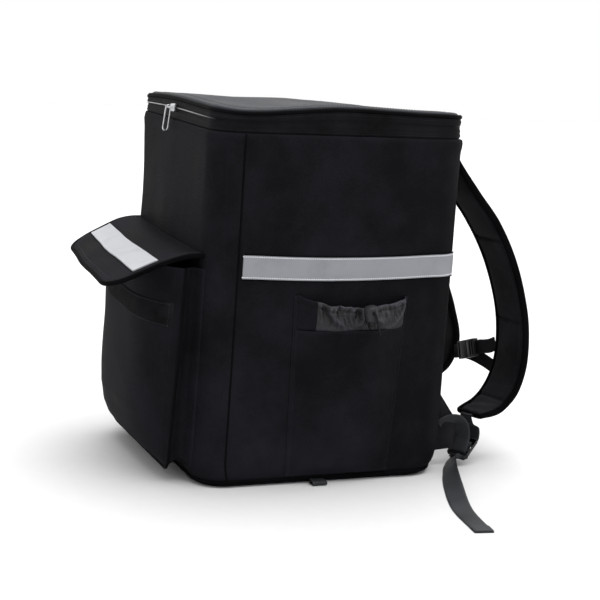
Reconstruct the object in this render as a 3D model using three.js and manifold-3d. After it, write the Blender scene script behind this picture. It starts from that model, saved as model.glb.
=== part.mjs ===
// Insulated delivery backpack, in millimetres. It stands on its base, centred on the origin.
// +Z is up, the bellows pocket faces -Y, the carrying straps are on +Y.
import * as THREE from 'three';
import { mergeVertices } from 'three/addons/utils/BufferGeometryUtils.js';
import Module from 'manifold-3d';

const wasm = await Module();
wasm.setup();

// Driving dimensions
const bodyWidth = 320;
const bodyDepth = 344;
const bodyHeight = 440;
const cornerRadius = 38;
const bodyWall = 8;
const wallBulge = 4;
const baseInset = 6;
const baseRise = 14;
const baseFlare = 4;
const frontInset = 14;
const frontRise = 34;
const heelInset = 24;
const heelRise = 52;
const gap = 0.3;

const tapeHeight = 22;
const tapeInset = 3;
const tapeThickness = 2;
const coilHeight = 5;
const coilThickness = 1.6;
const rimWave = 20;
const pipingDiameter = 5;
const lidThickness = 7.5;
const lidCrown = 2;

const sliderPlace = -8;
const sliderLength = 16;
const sliderHeight = 10;
const sliderThickness = 4.4;
const bridgeStandoff = 4.8;
const bridgeWire = 2;
const pullLength = 34;
const pullWidth = 8.5;
const pullSlot = 4.5;
const pullThickness = 2;
const pullLean = 6;

const bindingBottom = 3;
const bindingHeight = 6;
const bindingThickness = 2;
const webbingWidth = 25;
const webbingThickness = 1.5;
const loopPlace = -14;
const loopWidth = 20;
const loopReach = 14;
const loopHeight = 6;

const reflectiveWidth = 30;
const reflectiveThickness = 1;
const sideStripTop = 294;
const sideStripSag = 3;

const pocketWidth = 266;
const pocketBottom = 21;
const pocketTop = 272;
const gussetDepth = 27;
const gussetFold = 8;
const gussetThickness = 2;
const panelThickness = 2.5;
const panelCrown = 36;
const panelCorner = 10;
const farCorner = 46;
const pocketPiping = 3.6;
const hookBottom = 197;
const hookHeight = 31;
const hookStart = -55;
const hookEnd = 127;
const hookThickness = 1.5;

const flapWidth = 266;
const flapLength = 113;
const flapDrop = 38;
const flapHinge = 293;
const flapTwist = 3;
const flapSkew = 0.1;
const flapThickness = 4;
const flapCorner = 30;
const flapBinding = 3;
const flapStripPlace = 50;

const bottleTopWidth = 148;
const bottleFootWidth = 135;
const bottleMiddle = 18;
const bottleFootMiddle = 13.5;
const bottleFoot = 12;
const bottleTop = 200;
const bottleBelly = 13;
const bottleThickness = 2;
const collarHeight = 44;
const collarSag = 14;
const collarGathers = 9;
const gatherDepth = 2;

const lockDiameter = 17;
const lockHeight = 19;
const lockWall = 2.3;
const lockTravel = 4;
const buttonHead = 8;
const lockLean = 14;
const lockPlace = 15;
const lockRise = 4.5;
const drawcordDiameter = 3;

const backPanelWidth = 244;
const backPanelBottom = 60;
const backPanelTop = 420;
const backPanelThickness = 3.5;
const backSeat = 0.8;

const strapReach = 129;
const strapTop = 417;
const strapFoot = 62;
const strapSpread = 100;
const strapWidth = 77;
const strapThickness = 14;

const ladderWidth = 33;
const ladderLength = 36;
const ladderThickness = 4;
const ladderBar = 4;
const ladderReach = 48;
const ladderLift = 22;
const ladderTilt = 35;
const ladderYaw = 30;
const ladderCorner = 4;
const wingPlace = 6;
const wingClear = 4;
const ladderPlace = backPanelWidth / 2 + wingClear - wingPlace;
const strapClimb = 12;
const anchorClimb = 11;
const wingHeight = 84;
const wingBottom = 21;
const wingReach = 28;
const wingThickness = 2.5;
const tailLength = 288;

const sternumWidth = 20;
const sternumHeight = 147;
const sternumFall = 35;
const chestSag = 2;
const buckleShare = 0.66;
const buckleLength = 42;
const buckleWidth = 26;
const buckleThickness = 8;
const buckleWall = 1.8;
const sternumTailLength = 92;

const group = new THREE.Group();

// Helpers: closed bodies from rows of points

function vec(x, y, z) {
  return new THREE.Vector3(x, y, z);
}

function table(columns, rows) {
  return rows.map((row) => Object.fromEntries(columns.map((name, i) => [name, row[i]])));
}

function solid(points, faces) {
  let volume = 0;
  for (const [a, b, c] of faces) {
    volume += points[a].dot(points[b].clone().cross(points[c]));
  }
  const turned = volume < 0 ? faces.map(([a, b, c]) => [a, c, b]) : faces;
  const geometry = new THREE.BufferGeometry();
  const flat = points.flatMap((p) => [p.x, p.y, p.z]);
  geometry.setAttribute('position', new THREE.Float32BufferAttribute(flat, 3));
  geometry.setIndex(turned.flat());
  return geometry;
}

function wallFaces(count, first, second) {
  const faces = [];
  for (let i = 0; i < count; i += 1) {
    const j = (i + 1) % count;
    faces.push([first + i, first + j, second + j], [first + i, second + j, second + i]);
  }
  return faces;
}

// A tube through rings of equally many points, capped at both ends or closed on itself.
function loft(rings, closed = false) {
  const count = rings[0].length;
  const points = rings.flat();
  const faces = [];
  const last = closed ? rings.length : rings.length - 1;
  for (let k = 0; k < last; k += 1) {
    faces.push(...wallFaces(count, k * count, ((k + 1) % rings.length) * count));
  }
  if (!closed) {
    for (const [ring, sense] of [[0, -1], [rings.length - 1, 1]]) {
      const centre = points.length;
      const middle = rings[ring].reduce((sum, p) => sum.add(p), vec(0, 0, 0)).divideScalar(count);
      points.push(middle);
      for (let i = 0; i < count; i += 1) {
        const a = ring * count + i;
        const b = ring * count + (i + 1) % count;
        faces.push(sense > 0 ? [a, b, centre] : [b, a, centre]);
      }
    }
  }
  return solid(points, faces);
}

// A sheet with a front and a back grid of points, open at its edges or closed into a band.
function slab(front, back, closed = false) {
  const rows = front.length;
  const columns = front[0].length;
  const points = [...front.flat(), ...back.flat()];
  const offset = rows * columns;
  const faces = [];
  const quad = (a, b, c, d) => faces.push([a, b, c], [a, c, d]);
  const lastRow = closed ? rows : rows - 1;
  for (let i = 0; i < lastRow; i += 1) {
    const here = i * columns;
    const next = ((i + 1) % rows) * columns;
    for (let j = 0; j < columns - 1; j += 1) {
      quad(here + j, next + j, next + j + 1, here + j + 1);
      quad(offset + here + j, offset + here + j + 1, offset + next + j + 1, offset + next + j);
    }
    quad(here, offset + here, offset + next, next);
    const end = columns - 1;
    quad(here + end, next + end, offset + next + end, offset + here + end);
  }
  if (!closed) {
    for (let j = 0; j < columns - 1; j += 1) {
      quad(j, j + 1, offset + j + 1, offset + j);
      const end = (rows - 1) * columns + j;
      quad(end, offset + end, offset + end + 1, end + 1);
    }
  }
  return solid(points, faces);
}

function grid(rows, columns, place) {
  return rows.map((row) => columns.map((column) => place(row, column)));
}

function steps(low, high, count) {
  return Array.from({ length: count + 1 }, (unused, i) => low + (high - low) * i / count);
}

function mirrored(geometry) {
  const position = geometry.getAttribute('position');
  const points = [];
  for (let i = 0; i < position.count; i += 1) {
    points.push(vec(-position.getX(i), position.getY(i), position.getZ(i)));
  }
  const index = geometry.getIndex().array;
  const faces = [];
  for (let i = 0; i < index.length; i += 3) {
    faces.push([index[i], index[i + 1], index[i + 2]]);
  }
  return solid(points, faces);
}

// Cloth and webbing swept along stations: at, across, wide and thick in each.
const flatSection = [[-0.5, -0.5], [0.5, -0.5], [0.5, 0.5], [-0.5, 0.5]];

function padSection(wide, thick) {
  const round = 0.3 * thick;
  const a = wide / 2;
  const b = thick / 2;
  return [[-a + round, -b], [a - round, -b], [a, -b + round], [a, b - round],
    [a - round, b], [-a + round, b], [-a, b - round], [-a, -b + round]];
}

function sweep(stations, stepsBetween, padded = false) {
  const path = new THREE.CatmullRomCurve3(stations.map((s) => s.at), false, 'centripetal');
  const spans = stations.length - 1;
  const rings = steps(0, spans, spans * stepsBetween).map((place) => {
    const k = Math.min(Math.floor(place), spans - 1);
    const share = place - k;
    const here = stations[k];
    const next = stations[k + 1];
    const at = path.getPoint(place / spans);
    const ahead = path.getTangent(place / spans);
    const across = here.across.clone().lerp(next.across, share);
    across.addScaledVector(ahead, -across.dot(ahead)).normalize();
    const out = across.clone().cross(ahead);
    const wide = here.wide + (next.wide - here.wide) * share;
    const thick = here.thick + (next.thick - here.thick) * share;
    const section = padded ? padSection(wide, thick) : flatSection.map(([a, b]) => [a * wide, b * thick]);
    return section.map(([a, b]) => at.clone().addScaledVector(across, a).addScaledVector(out, b));
  });
  return loft(rings);
}

function toSolid(geometry) {
  const bare = geometry.clone();
  bare.deleteAttribute('normal');
  bare.deleteAttribute('uv');
  const merged = mergeVertices(bare, 1e-4);
  return new wasm.Manifold(new wasm.Mesh({
    numProp: 3,
    vertProperties: merged.getAttribute('position').array,
    triVerts: new Uint32Array(merged.getIndex().array),
  }));
}

function toGeometry(manifold) {
  const mesh = manifold.getMesh();
  const geometry = new THREE.BufferGeometry();
  geometry.setAttribute('position', new THREE.BufferAttribute(mesh.vertProperties, 3));
  geometry.setIndex(new THREE.BufferAttribute(mesh.triVerts, 1));
  return geometry;
}

function block(x, y, z, atX, atY, atZ) {
  return new THREE.BoxGeometry(x, y, z).translate(atX, atY, atZ);
}

function finish(color, roughness, metalness = 0) {
  return new THREE.MeshStandardMaterial({ color, roughness, metalness });
}

function add(name, geometry, material, parent = group) {
  const mesh = new THREE.Mesh(geometry, material);
  mesh.name = name;
  parent.add(mesh);
  return mesh;
}

// The body's outline at each height, and the place of its walls

function curl(z, rise) {
  const share = Math.min(Math.max(z / rise, 0), 1);
  return 1 - Math.sqrt(1 - (1 - share) ** 2);
}

function outline(z) {
  const inset = baseInset * curl(z, baseRise);
  const flare = baseFlare * (1 - Math.min(z / bodyHeight, 1)) ** 2;
  return {
    side: bodyWidth / 2 + flare - inset,
    front: bodyDepth / 2 + flare - Math.max(inset, frontInset * curl(z, frontRise)),
    back: bodyDepth / 2 - Math.max(inset, heelInset * curl(z, heelRise)),
    round: cornerRadius - inset,
  };
}

function bulge(share, z) {
  const height = Math.min(Math.max(z / bodyHeight, 0), 1);
  return wallBulge * (1 - share * share) ** 2 * 4 * height * (1 - height);
}

// Going round from the front end of the right wall: 0 to 1 right, 1 to 2 its corner, and so on.
function around(place, z, offset = 0) {
  const o = outline(z);
  const turn = ((place % 8) + 8) % 8;
  const k = Math.floor(turn);
  const share = turn - k;
  const inner = { side: o.side - o.round, front: o.front - o.round, back: o.back - o.round };
  const corners = [
    vec(inner.side, -inner.front, z), vec(inner.side, inner.back, z),
    vec(-inner.side, inner.back, z), vec(-inner.side, -inner.front, z),
  ];
  const wall = Math.floor(k / 2);
  const start = corners[wall];
  const end = corners[(wall + 1) % 4];
  const facing = wall * Math.PI / 2;
  if (k % 2 === 1) {
    const angle = facing + share * Math.PI / 2;
    const reach = o.round + offset;
    return end.clone().add(vec(reach * Math.cos(angle), reach * Math.sin(angle), 0));
  }
  const reach = o.round + offset + bulge(2 * share - 1, z);
  return start.clone().lerp(end, share).add(vec(reach * Math.cos(facing), reach * Math.sin(facing), 0));
}

// Distance of a wall from the middle: half is its own, along and length belong to the wall's run.
function wallAt(half, along, length, round, z) {
  const straight = length - round;
  const past = Math.abs(along) - straight;
  if (past > 0) {
    return half - round + Math.sqrt(Math.max(round * round - past * past, 0));
  }
  return half + bulge(along / straight, z);
}

function rightWall(y, z) {
  const o = outline(z);
  return wallAt(o.side, y, o.front, o.round, z);
}

function frontWall(x, z) {
  const o = outline(z);
  return wallAt(o.front, x, o.side, o.round, z);
}

function backWall(x, z) {
  const o = outline(z);
  return wallAt(o.back, x, o.side, o.round, z);
}

// How far the top seam and the lid's rim rise or sag round the bag, as shares of rimWave.
const rimTable = table(['place', 'seam', 'rim'], [
  [0.0, 0, -0.05],
  [0.5, 0, 0.35],
  [1.0, 0, 0.2],
  [1.5, 0, 0.15],
  [2.5, -0.3, -0.35],
  [3.5, -0.8, -0.95],
  [4.0, -0.7, -0.85],
  [4.5, -0.2, -0.36],
  [5.5, 0, -0.34],
  [6.5, 0, 0.1],
  [7.0, 0, 0.05],
  [8.0, 0, -0.05],
]);

function wave(place, column) {
  const turn = ((place % 8) + 8) % 8;
  const next = rimTable.findIndex((row) => row.place > turn);
  const high = rimTable[next];
  const low = rimTable[next - 1];
  const share = (turn - low.place) / (high.place - low.place);
  const smooth = share * share * (3 - 2 * share);
  return rimWave * (low[column] + (high[column] - low[column]) * smooth);
}

function seamAt(place) {
  return bodyHeight + wave(place, 'seam');
}

function rimAt(place) {
  return bodyHeight + tapeHeight + wave(place, 'rim');
}

const wallSteps = 6;
const cornerSteps = 5;
const places = [0, 1, 2, 3, 4, 5, 6, 7].flatMap((k) => {
  const count = k % 2 === 0 ? wallSteps : cornerSteps;
  return steps(0, 1, count).slice(0, count).map((share) => k + share);
});

// Body: one padded shell, open at the top
const bindingTop = bindingBottom + bindingHeight;
const levels = [0, bindingBottom, bindingTop, baseRise, 28, 0.5 * (28 + heelRise), heelRise,
  0.25 * bodyHeight, 0.45 * bodyHeight, 0.65 * bodyHeight, 0.88 * bodyHeight];
const shellRings = levels.map((z) => places.map((u) => around(u, z)));
shellRings.push(places.map((u) => around(u, bodyHeight).setZ(seamAt(u))));
shellRings.push(places.map((u) => around(u, bodyHeight, -bodyWall).setZ(seamAt(u))));
for (const z of [0.88 * bodyHeight, 0.45 * bodyHeight, heelRise, bodyWall]) {
  const insideZ = Math.max(z, 0.5 * baseRise);
  shellRings.push(places.map((u) => around(u, insideZ, -bodyWall).setZ(z)));
}
add('body_shell', loft(shellRings), finish(0x1d1e20, 0.8));

function band(from, low, high, inner, outer, list = places) {
  const rows = list.map((u) => [low(u), high(u)]);
  const face = (offset) => rows.map(([a, b], i) => [a, b].map((z) => around(list[i], Math.min(z, from), offset).setZ(z)));
  return [face(outer), face(inner)];
}

const bindingRows = band(bodyHeight, () => bindingBottom, () => bindingTop, gap, gap + bindingThickness);
add('base_binding', slab(...bindingRows, true), finish(0x141416, 0.7));

// Zip band, its teeth and the piped rim of the lid
const tapeRows = band(bodyHeight, (u) => seamAt(u) + gap, rimAt, -tapeInset - tapeThickness, -tapeInset);
add('zipper_tape', slab(...tapeRows, true), finish(0x151517, 0.75));

function teethAt(place) {
  return 0.36 * seamAt(place) + 0.64 * rimAt(place);
}

const coilPlaces = [3.6, 3.8, ...places.filter((u) => u >= 4), ...places.filter((u) => u < 1.5).map((u) => u + 8)];
const coilInner = -tapeInset + gap;
const coilRows = band(
  bodyHeight,
  (u) => teethAt(u) - Math.min(coilHeight, 0.4 * (rimAt(u) - seamAt(u))) / 2,
  (u) => teethAt(u) + Math.min(coilHeight, 0.4 * (rimAt(u) - seamAt(u))) / 2,
  coilInner,
  coilInner + coilThickness,
  coilPlaces,
);
add('zipper_coil', slab(...coilRows), finish(0x8d9094, 0.35, 0.8));

const pipingRadius = pipingDiameter / 2;
const pipingRings = places.map((u) => {
  const centre = -tapeInset - tapeThickness / 2;
  const height = rimAt(u) + gap + pipingRadius;
  return steps(0, 5, 5).map((k) => {
    const angle = (k + 0.5) * Math.PI / 3;
    const reach = pipingRadius * Math.cos(angle);
    const rise = pipingRadius * Math.sin(angle);
    return around(u, bodyHeight, centre + reach).setZ(height + rise);
  });
});
add('lid_piping', loft(pipingRings, true), finish(0x0c0c0e, 0.5));

const lidEdge = -tapeInset - tapeThickness / 2 - pipingRadius - gap;
function lidPoint(place, toMiddle, inset, height) {
  const edge = around(place, bodyHeight, lidEdge - inset);
  const middleLift = bodyHeight + tapeHeight - 0.1 * rimWave;
  const z = rimAt(place) * (1 - toMiddle) + middleLift * toMiddle;
  return vec(edge.x * (1 - toMiddle), edge.y * (1 - toMiddle), z + gap + height);
}

const lidRings = [
  places.map((u) => lidPoint(u, 0.6, 0, 0)),
  places.map((u) => lidPoint(u, 0, 0, 0)),
  places.map((u) => lidPoint(u, 0, 0, 0.45 * lidThickness)),
  places.map((u) => lidPoint(u, 0, 2.5, 0.85 * lidThickness)),
  places.map((u) => lidPoint(u, 0.05, 0, lidThickness)),
  places.map((u) => lidPoint(u, 0.35, 0, lidThickness + 0.6 * lidCrown)),
  places.map((u) => lidPoint(u, 0.7, 0, lidThickness + lidCrown)),
];
add('lid_panel', loft(lidRings), finish(0x2c2e31, 0.45));

// Zip slider and its pull, at the front
const sliderFace = frontWall(sliderPlace, bodyHeight) - tapeInset;
const sliderPlaceOnRim = 6.5 + 0.5 * sliderPlace / (bodyWidth / 2 - cornerRadius);
const sliderZ = teethAt(sliderPlaceOnRim);

const sliderGroup = new THREE.Group();
sliderGroup.position.set(sliderPlace, -sliderFace, sliderZ);
group.add(sliderGroup);

const sliderShape = new THREE.Shape();
sliderShape.moveTo(-sliderLength / 2, -0.36 * sliderHeight);
sliderShape.lineTo(0.1 * sliderLength, -0.5 * sliderHeight);
sliderShape.lineTo(0.42 * sliderLength, -0.5 * sliderHeight);
sliderShape.lineTo(0.5 * sliderLength, -0.3 * sliderHeight);
sliderShape.lineTo(0.5 * sliderLength, 0.3 * sliderHeight);
sliderShape.lineTo(0.42 * sliderLength, 0.5 * sliderHeight);
sliderShape.lineTo(0.1 * sliderLength, 0.5 * sliderHeight);
sliderShape.lineTo(-sliderLength / 2, 0.36 * sliderHeight);
sliderShape.closePath();
const sliderPlate = new THREE.ExtrudeGeometry(sliderShape, { depth: sliderThickness - gap, bevelEnabled: false });
sliderPlate.rotateX(Math.PI / 2).translate(0, -gap, 0);
const channelDepth = gap + coilThickness + gap;
const channel = block(2 * sliderLength, 2 * channelDepth, coilHeight + 2 * gap, 0, 0, 0);
const barLength = 0.75 * sliderLength;
const bar = new THREE.CylinderGeometry(bridgeWire / 2, bridgeWire / 2, barLength, 10).rotateZ(Math.PI / 2);
bar.translate(0, -sliderThickness - bridgeStandoff, 0);
const postLength = bridgeStandoff + bridgeWire / 2 + 1;
const postY = -sliderThickness + 1 - postLength / 2;
const posts = [-1, 1].map((side) => {
  const x = side * (barLength - bridgeWire) / 2;
  return toSolid(block(bridgeWire + 0.4, postLength, bridgeWire + 0.4, x, postY, 0));
});
const sliderSolid = toSolid(sliderPlate).subtract(toSolid(channel)).add(toSolid(bar)).add(posts[0]).add(posts[1]);
add('zipper_slider', toGeometry(sliderSolid), finish(0xb9bcc0, 0.3, 0.9), sliderGroup);

const pullGroup = new THREE.Group();
pullGroup.position.set(0, -sliderThickness - bridgeStandoff, 0);
pullGroup.rotation.x = -pullLean * Math.PI / 180;
sliderGroup.add(pullGroup);

function stadium(target, halfWidth, top, bottom) {
  target.moveTo(halfWidth, bottom);
  target.lineTo(halfWidth, top);
  target.absarc(0, top, halfWidth, 0, Math.PI, false);
  target.lineTo(-halfWidth, bottom);
  target.absarc(0, bottom, halfWidth, Math.PI, 2 * Math.PI, false);
  return target;
}

const slotTop = bridgeWire / 2 + gap - pullSlot / 2;
const rail = (pullWidth - pullSlot) / 2;
const pullTopCentre = slotTop + pullSlot / 2 + rail - pullWidth / 2;
const pullBottomCentre = slotTop + pullSlot / 2 + rail - pullLength + pullWidth / 2;
const pullShape = stadium(new THREE.Shape(), pullWidth / 2, pullTopCentre, pullBottomCentre);
pullShape.holes.push(stadium(new THREE.Path(), pullSlot / 2, slotTop, pullBottomCentre));
const pull = new THREE.ExtrudeGeometry(pullShape, { depth: pullThickness, bevelEnabled: false, curveSegments: 6 });
pull.translate(0, 0, -pullThickness / 2).applyMatrix4(new THREE.Matrix4().makeBasis(vec(0, 1, 0), vec(0, 0, 1), vec(1, 0, 0)));
add('zipper_pull', pull, finish(0xc4c7ca, 0.3, 0.9), pullGroup);

// Reflective tape on each side, from the front seam round to the back corner
const stripPlaces = [...steps(0.005, 1, 10), ...steps(1.2, 1.6, 2)];

function stripTop(place) {
  return sideStripTop - sideStripSag * Math.max(0, 1 - (2 * place - 1) ** 2);
}

const stripRows = band(
  bodyHeight,
  (u) => stripTop(u) - reflectiveWidth,
  stripTop,
  gap,
  gap + reflectiveThickness,
  stripPlaces,
);
const sideStrip = slab(...stripRows);
add('side_strip_right', sideStrip, finish(0x9a9da1, 0.5));
add('side_strip_left', mirrored(sideStrip), finish(0x9a9da1, 0.5));

// Folded webbing loop in the base seam, lying on the floor
const loopStart = outline(loopHeight).side + bindingThickness + 1.5 * gap;
const loopOuter = new THREE.Shape();
const loopRadius = loopHeight / 2;
const loopMiddle = loopRadius + 0.1;
const loopEnd = loopStart + loopReach - loopRadius;
loopOuter.moveTo(loopStart, loopMiddle - loopRadius);
loopOuter.lineTo(loopEnd, loopMiddle - loopRadius);
loopOuter.absarc(loopEnd, loopMiddle, loopRadius, -Math.PI / 2, Math.PI / 2, false);
loopOuter.lineTo(loopStart, loopMiddle + loopRadius);
loopOuter.closePath();
const loopHole = new THREE.Path();
const holeRadius = loopRadius - webbingThickness;
loopHole.moveTo(loopStart + 0.4 * loopReach, loopMiddle);
loopHole.lineTo(loopEnd, loopMiddle - holeRadius);
loopHole.absarc(loopEnd, loopMiddle, holeRadius, -Math.PI / 2, Math.PI / 2, false);
loopHole.closePath();
loopOuter.holes.push(loopHole);
const loopBody = new THREE.ExtrudeGeometry(loopOuter, { depth: loopWidth, bevelEnabled: false, curveSegments: 5 });
loopBody.rotateX(Math.PI / 2).translate(0, loopPlace + loopWidth / 2, 0);
add('base_loop_right', loopBody, finish(0x202124, 0.8));
const loopFlip = toGeometry(toSolid(loopBody));
add('base_loop_left', mirrored(loopFlip), finish(0x202124, 0.8));

// Front bellows pocket: crowned panel, folded gusset and piped edge
const pocketHeight = pocketTop - pocketBottom;
const halfPocket = pocketWidth / 2;

// How deep the gusset stands, and how full the panel is, going up the pocket.
const pocketTable = table(['up', 'deep', 'full'], [
  [0, 1, 0],
  [0.02, 1, 0.16],
  [0.06, 0.99, 0.45],
  [0.13, 0.97, 0.72],
  [0.24, 0.93, 0.92],
  [0.4, 0.88, 1],
  [0.6, 0.83, 1],
  [0.8, 0.77, 0.94],
  [1, 0.72, 0.8],
]);

function column(rows, name, key, value) {
  const next = Math.max(1, rows.findIndex((row) => row[name] >= value));
  const high = rows[next < 0 ? rows.length - 1 : next];
  const low = rows[rows.indexOf(high) - 1];
  const share = Math.min(Math.max((value - low[name]) / (high[name] - low[name]), 0), 1);
  return low[key] + (high[key] - low[key]) * share;
}

function pocketHalfAt(z, corner) {
  const rise = Math.min(z - pocketBottom, corner);
  return halfPocket - corner + Math.sqrt(corner ** 2 - (corner - rise) ** 2);
}

function gussetAt(x, z) {
  const up = (z - pocketBottom) / pocketHeight;
  return frontWall(x, z) + gussetDepth * column(pocketTable, 'up', 'deep', up);
}

function panelAt(x, z) {
  const up = (z - pocketBottom) / pocketHeight;
  const share = Math.min(Math.abs(x) / halfPocket, 1);
  return gussetAt(Math.sign(x) * share * halfPocket, z)
    + panelCrown * column(pocketTable, 'up', 'full', up) * (1 - share ** 4) + gap;
}

const panelRows = pocketTable.map((row) => pocketBottom + row.up * pocketHeight);
panelRows.splice(2, 0, pocketBottom + 0.035 * pocketHeight);
const panelColumns = [-1, -0.94, -0.84, -0.68, -0.45, -0.2, 0, 0.2, 0.45, 0.68, 0.84, 0.94, 1];

function panelGrid(offset) {
  return grid(panelRows, panelColumns, (z, a) => {
    const x = a * pocketHalfAt(z, a < 0 ? farCorner : panelCorner);
    return vec(x, -panelAt(x, z) - offset, z);
  });
}

add('front_pocket_panel', slab(panelGrid(panelThickness), panelGrid(0)), finish(0x222326, 0.75));

// Edge of the pocket: down one side, along the bottom and up the other, with the way in.
function pocketSide(outset, corner) {
  const x = halfPocket + outset;
  const radius = corner + outset;
  const low = pocketBottom - outset;
  const points = [];
  for (const z of steps(pocketTop, low + radius, 7).slice(0, 7)) {
    points.push({ x, z, inX: -1, inZ: 0 });
  }
  for (const angle of steps(0, Math.PI / 2, 5)) {
    points.push({
      x: x - radius + radius * Math.cos(angle),
      z: low + radius - radius * Math.sin(angle),
      inX: -Math.cos(angle),
      inZ: Math.sin(angle),
    });
  }
  for (const share of steps(1, 0, 5).slice(1)) {
    points.push({ x: share * (x - radius), z: low, inX: 0, inZ: 1 });
  }
  return points;
}

function pocketEdge(outset) {
  const far = pocketSide(outset, farCorner).slice(0, -1).reverse();
  return [...pocketSide(outset, panelCorner), ...far.map((p) => ({ ...p, x: -p.x, inX: -p.inX }))];
}

const gussetTable = table(['deep', 'inward'], [
  [1, 0],
  [0.72, 0.55],
  [0.42, 1],
  [0.22, 0.7],
  [0, -0.7],
]);

function gussetGrid(inset) {
  return pocketEdge(0).map((p) => gussetTable.map((row) => {
    const inward = gussetFold * row.inward + inset;
    const x = p.x + p.inX * inward;
    const z = p.z + p.inZ * inward;
    const wall = frontWall(x, z) + gap;
    const y = wall + (gussetAt(p.x, p.z) - frontWall(p.x, p.z) - gap) * row.deep;
    return vec(x, -y, z);
  }));
}

add('front_pocket_gusset', slab(gussetGrid(0), gussetGrid(gussetThickness)), finish(0x1a1b1d, 0.8));

const pocketPipingOut = pocketPiping / 2 + 1.5 * gap;
const pocketPipingRings = pocketEdge(pocketPipingOut).map((p) => {
  const inner = { x: p.x + p.inX * pocketPipingOut, z: p.z + p.inZ * pocketPipingOut };
  const y = gussetAt(inner.x, inner.z) + gap + panelThickness / 2;
  return steps(0, 5, 5).map((k) => {
    const angle = k * Math.PI / 3;
    const out = pocketPiping / 2 * Math.cos(angle);
    return vec(p.x - p.inX * out, -y - pocketPiping / 2 * Math.sin(angle), p.z - p.inZ * out);
  });
});
add('front_pocket_piping', loft(pocketPipingRings), finish(0x2a2b2e, 0.6));

const hookColumns = steps(hookStart, hookEnd, 12);
const hookGrid = (offset) => grid([hookBottom, hookBottom + hookHeight], hookColumns, (z, x) => (
  vec(x, -panelAt(x, z) - panelThickness - offset, z)
));
add('hook_tape', slab(hookGrid(1 + hookThickness), hookGrid(1)), finish(0x17181a, 0.95));

// Front flap, lifted and open, with its bound edge and reflective tape
const flapTable = table(['along', 'out', 'drop'], [
  [0, 0, 0],
  [0.14, 0.135, 0.02],
  [0.3, 0.29, 0.12],
  [0.43, 0.415, 0.26],
  [0.7, 0.67, 0.6],
  [0.86, 0.815, 0.82],
  [0.95, 0.9, 0.94],
  [1, 0.945, 1],
]);

function flapPoint(share, along, offset) {
  const x = share * flapWidth / 2;
  const reach = flapLength * (1 + flapSkew * share);
  const hingeZ = flapHinge - flapTwist * share;
  const out = column(flapTable, 'along', 'out', along) * reach;
  const drop = column(flapTable, 'along', 'drop', along) * flapDrop;
  return vec(x, -(frontWall(x, hingeZ) + gap + out), hingeZ - drop + offset);
}

function flapHalf(along) {
  const left = (1 - along) * flapLength;
  const rise = Math.min(left, flapCorner);
  const lost = flapCorner - Math.sqrt(flapCorner ** 2 - (flapCorner - rise) ** 2);
  return 1 - lost / (flapWidth / 2);
}

const flapRows = [0, 0.14, 0.3, 0.43, 0.7, 0.78, 0.86, 0.93, 0.98, 1];
const flapColumns = [-1, -0.96, -0.915, -0.75, -0.5, -0.25, 0, 0.25, 0.5, 0.75, 0.915, 0.96, 1];
const flapGrid = (offset) => grid(flapRows, flapColumns, (along, a) => flapPoint(a * flapHalf(along), along, offset));
add('front_flap', slab(flapGrid(0), flapGrid(-flapThickness)), finish(0x2f3134, 0.7));

const flapEdge = [
  ...flapRows.map((along) => ({ share: flapHalf(along), along })),
  ...flapColumns.slice(1, -1).reverse().map((a) => ({ share: a * flapHalf(1), along: 1 })),
  ...[...flapRows].reverse().map((along) => ({ share: -flapHalf(along), along })),
];
const flapEdgePoints = flapEdge.map((e) => flapPoint(e.share, e.along, -flapThickness / 2));
const bindingRings = flapEdgePoints.map((at, i) => {
  const before = flapEdgePoints[Math.max(i - 1, 0)];
  const after = flapEdgePoints[Math.min(i + 1, flapEdgePoints.length - 1)];
  const ahead = after.clone().sub(before).normalize();
  const outward = ahead.clone().cross(vec(0, 0, 1)).normalize().negate();
  const up = vec(0, 0, 1);
  const half = flapThickness / 2 + 1;
  const near = gap + 0.3;
  const corner = (out, rise) => at.clone().addScaledVector(outward, out).addScaledVector(up, rise);
  return [
    corner(near, -half), corner(near + flapBinding, -0.6 * half),
    corner(near + flapBinding, 0.6 * half), corner(near, half),
  ];
});
add('flap_binding', loft(bindingRings), finish(0x0f0f11, 0.6));

const flapStripShares = [flapStripPlace / flapLength, 0.5 * (2 * flapStripPlace + reflectiveWidth) / flapLength,
  (flapStripPlace + reflectiveWidth) / flapLength];
const flapStripGrid = (offset) => grid(flapStripShares, flapColumns, (along, a) => flapPoint(0.985 * a, along, offset));
add('flap_strip', slab(flapStripGrid(1 + reflectiveThickness), flapStripGrid(1)), finish(0xd2d6d9, 0.4));

// Bottle pocket on each side, with its gathered collar
function bottleHalf(z) {
  const up = (z - bottleFoot) / (bottleTop - bottleFoot);
  return (bottleFootWidth + (bottleTopWidth - bottleFootWidth) * up) / 2;
}

function bottleCentre(z) {
  const up = (z - bottleFoot) / (bottleTop - bottleFoot);
  return bottleFootMiddle + (bottleMiddle - bottleFootMiddle) * up;
}

const bottleTable = table(['up', 'full'], [
  [0, 0],
  [0.05, 0.3],
  [0.16, 0.6],
  [0.35, 0.85],
  [0.6, 1],
  [0.85, 1],
  [1, 0.92],
]);
const bottleColumns = steps(-1, 1, 10);

function bottlePoint(a, z, full, offset) {
  const y = bottleCentre(z) + a * bottleHalf(z);
  const belly = bottleBelly * full * (1 - a ** 4);
  return vec(rightWall(y, z) + gap + belly + offset, y, z);
}

const bottleRows = bottleTable.map((row) => ({ z: bottleFoot + row.up * (bottleTop - bottleFoot), full: row.full }));
const bottleGrid = (offset) => grid(bottleRows, bottleColumns, (row, a) => bottlePoint(a, row.z, row.full, offset));
const bottlePocket = slab(bottleGrid(bottleThickness), bottleGrid(0));

const collarTable = table(['up', 'full', 'gather'], [
  [0, 0.92, 0.4],
  [0.35, 1.05, 1],
  [0.7, 1.1, 1],
  [1, 1, 0.6],
]);

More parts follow.
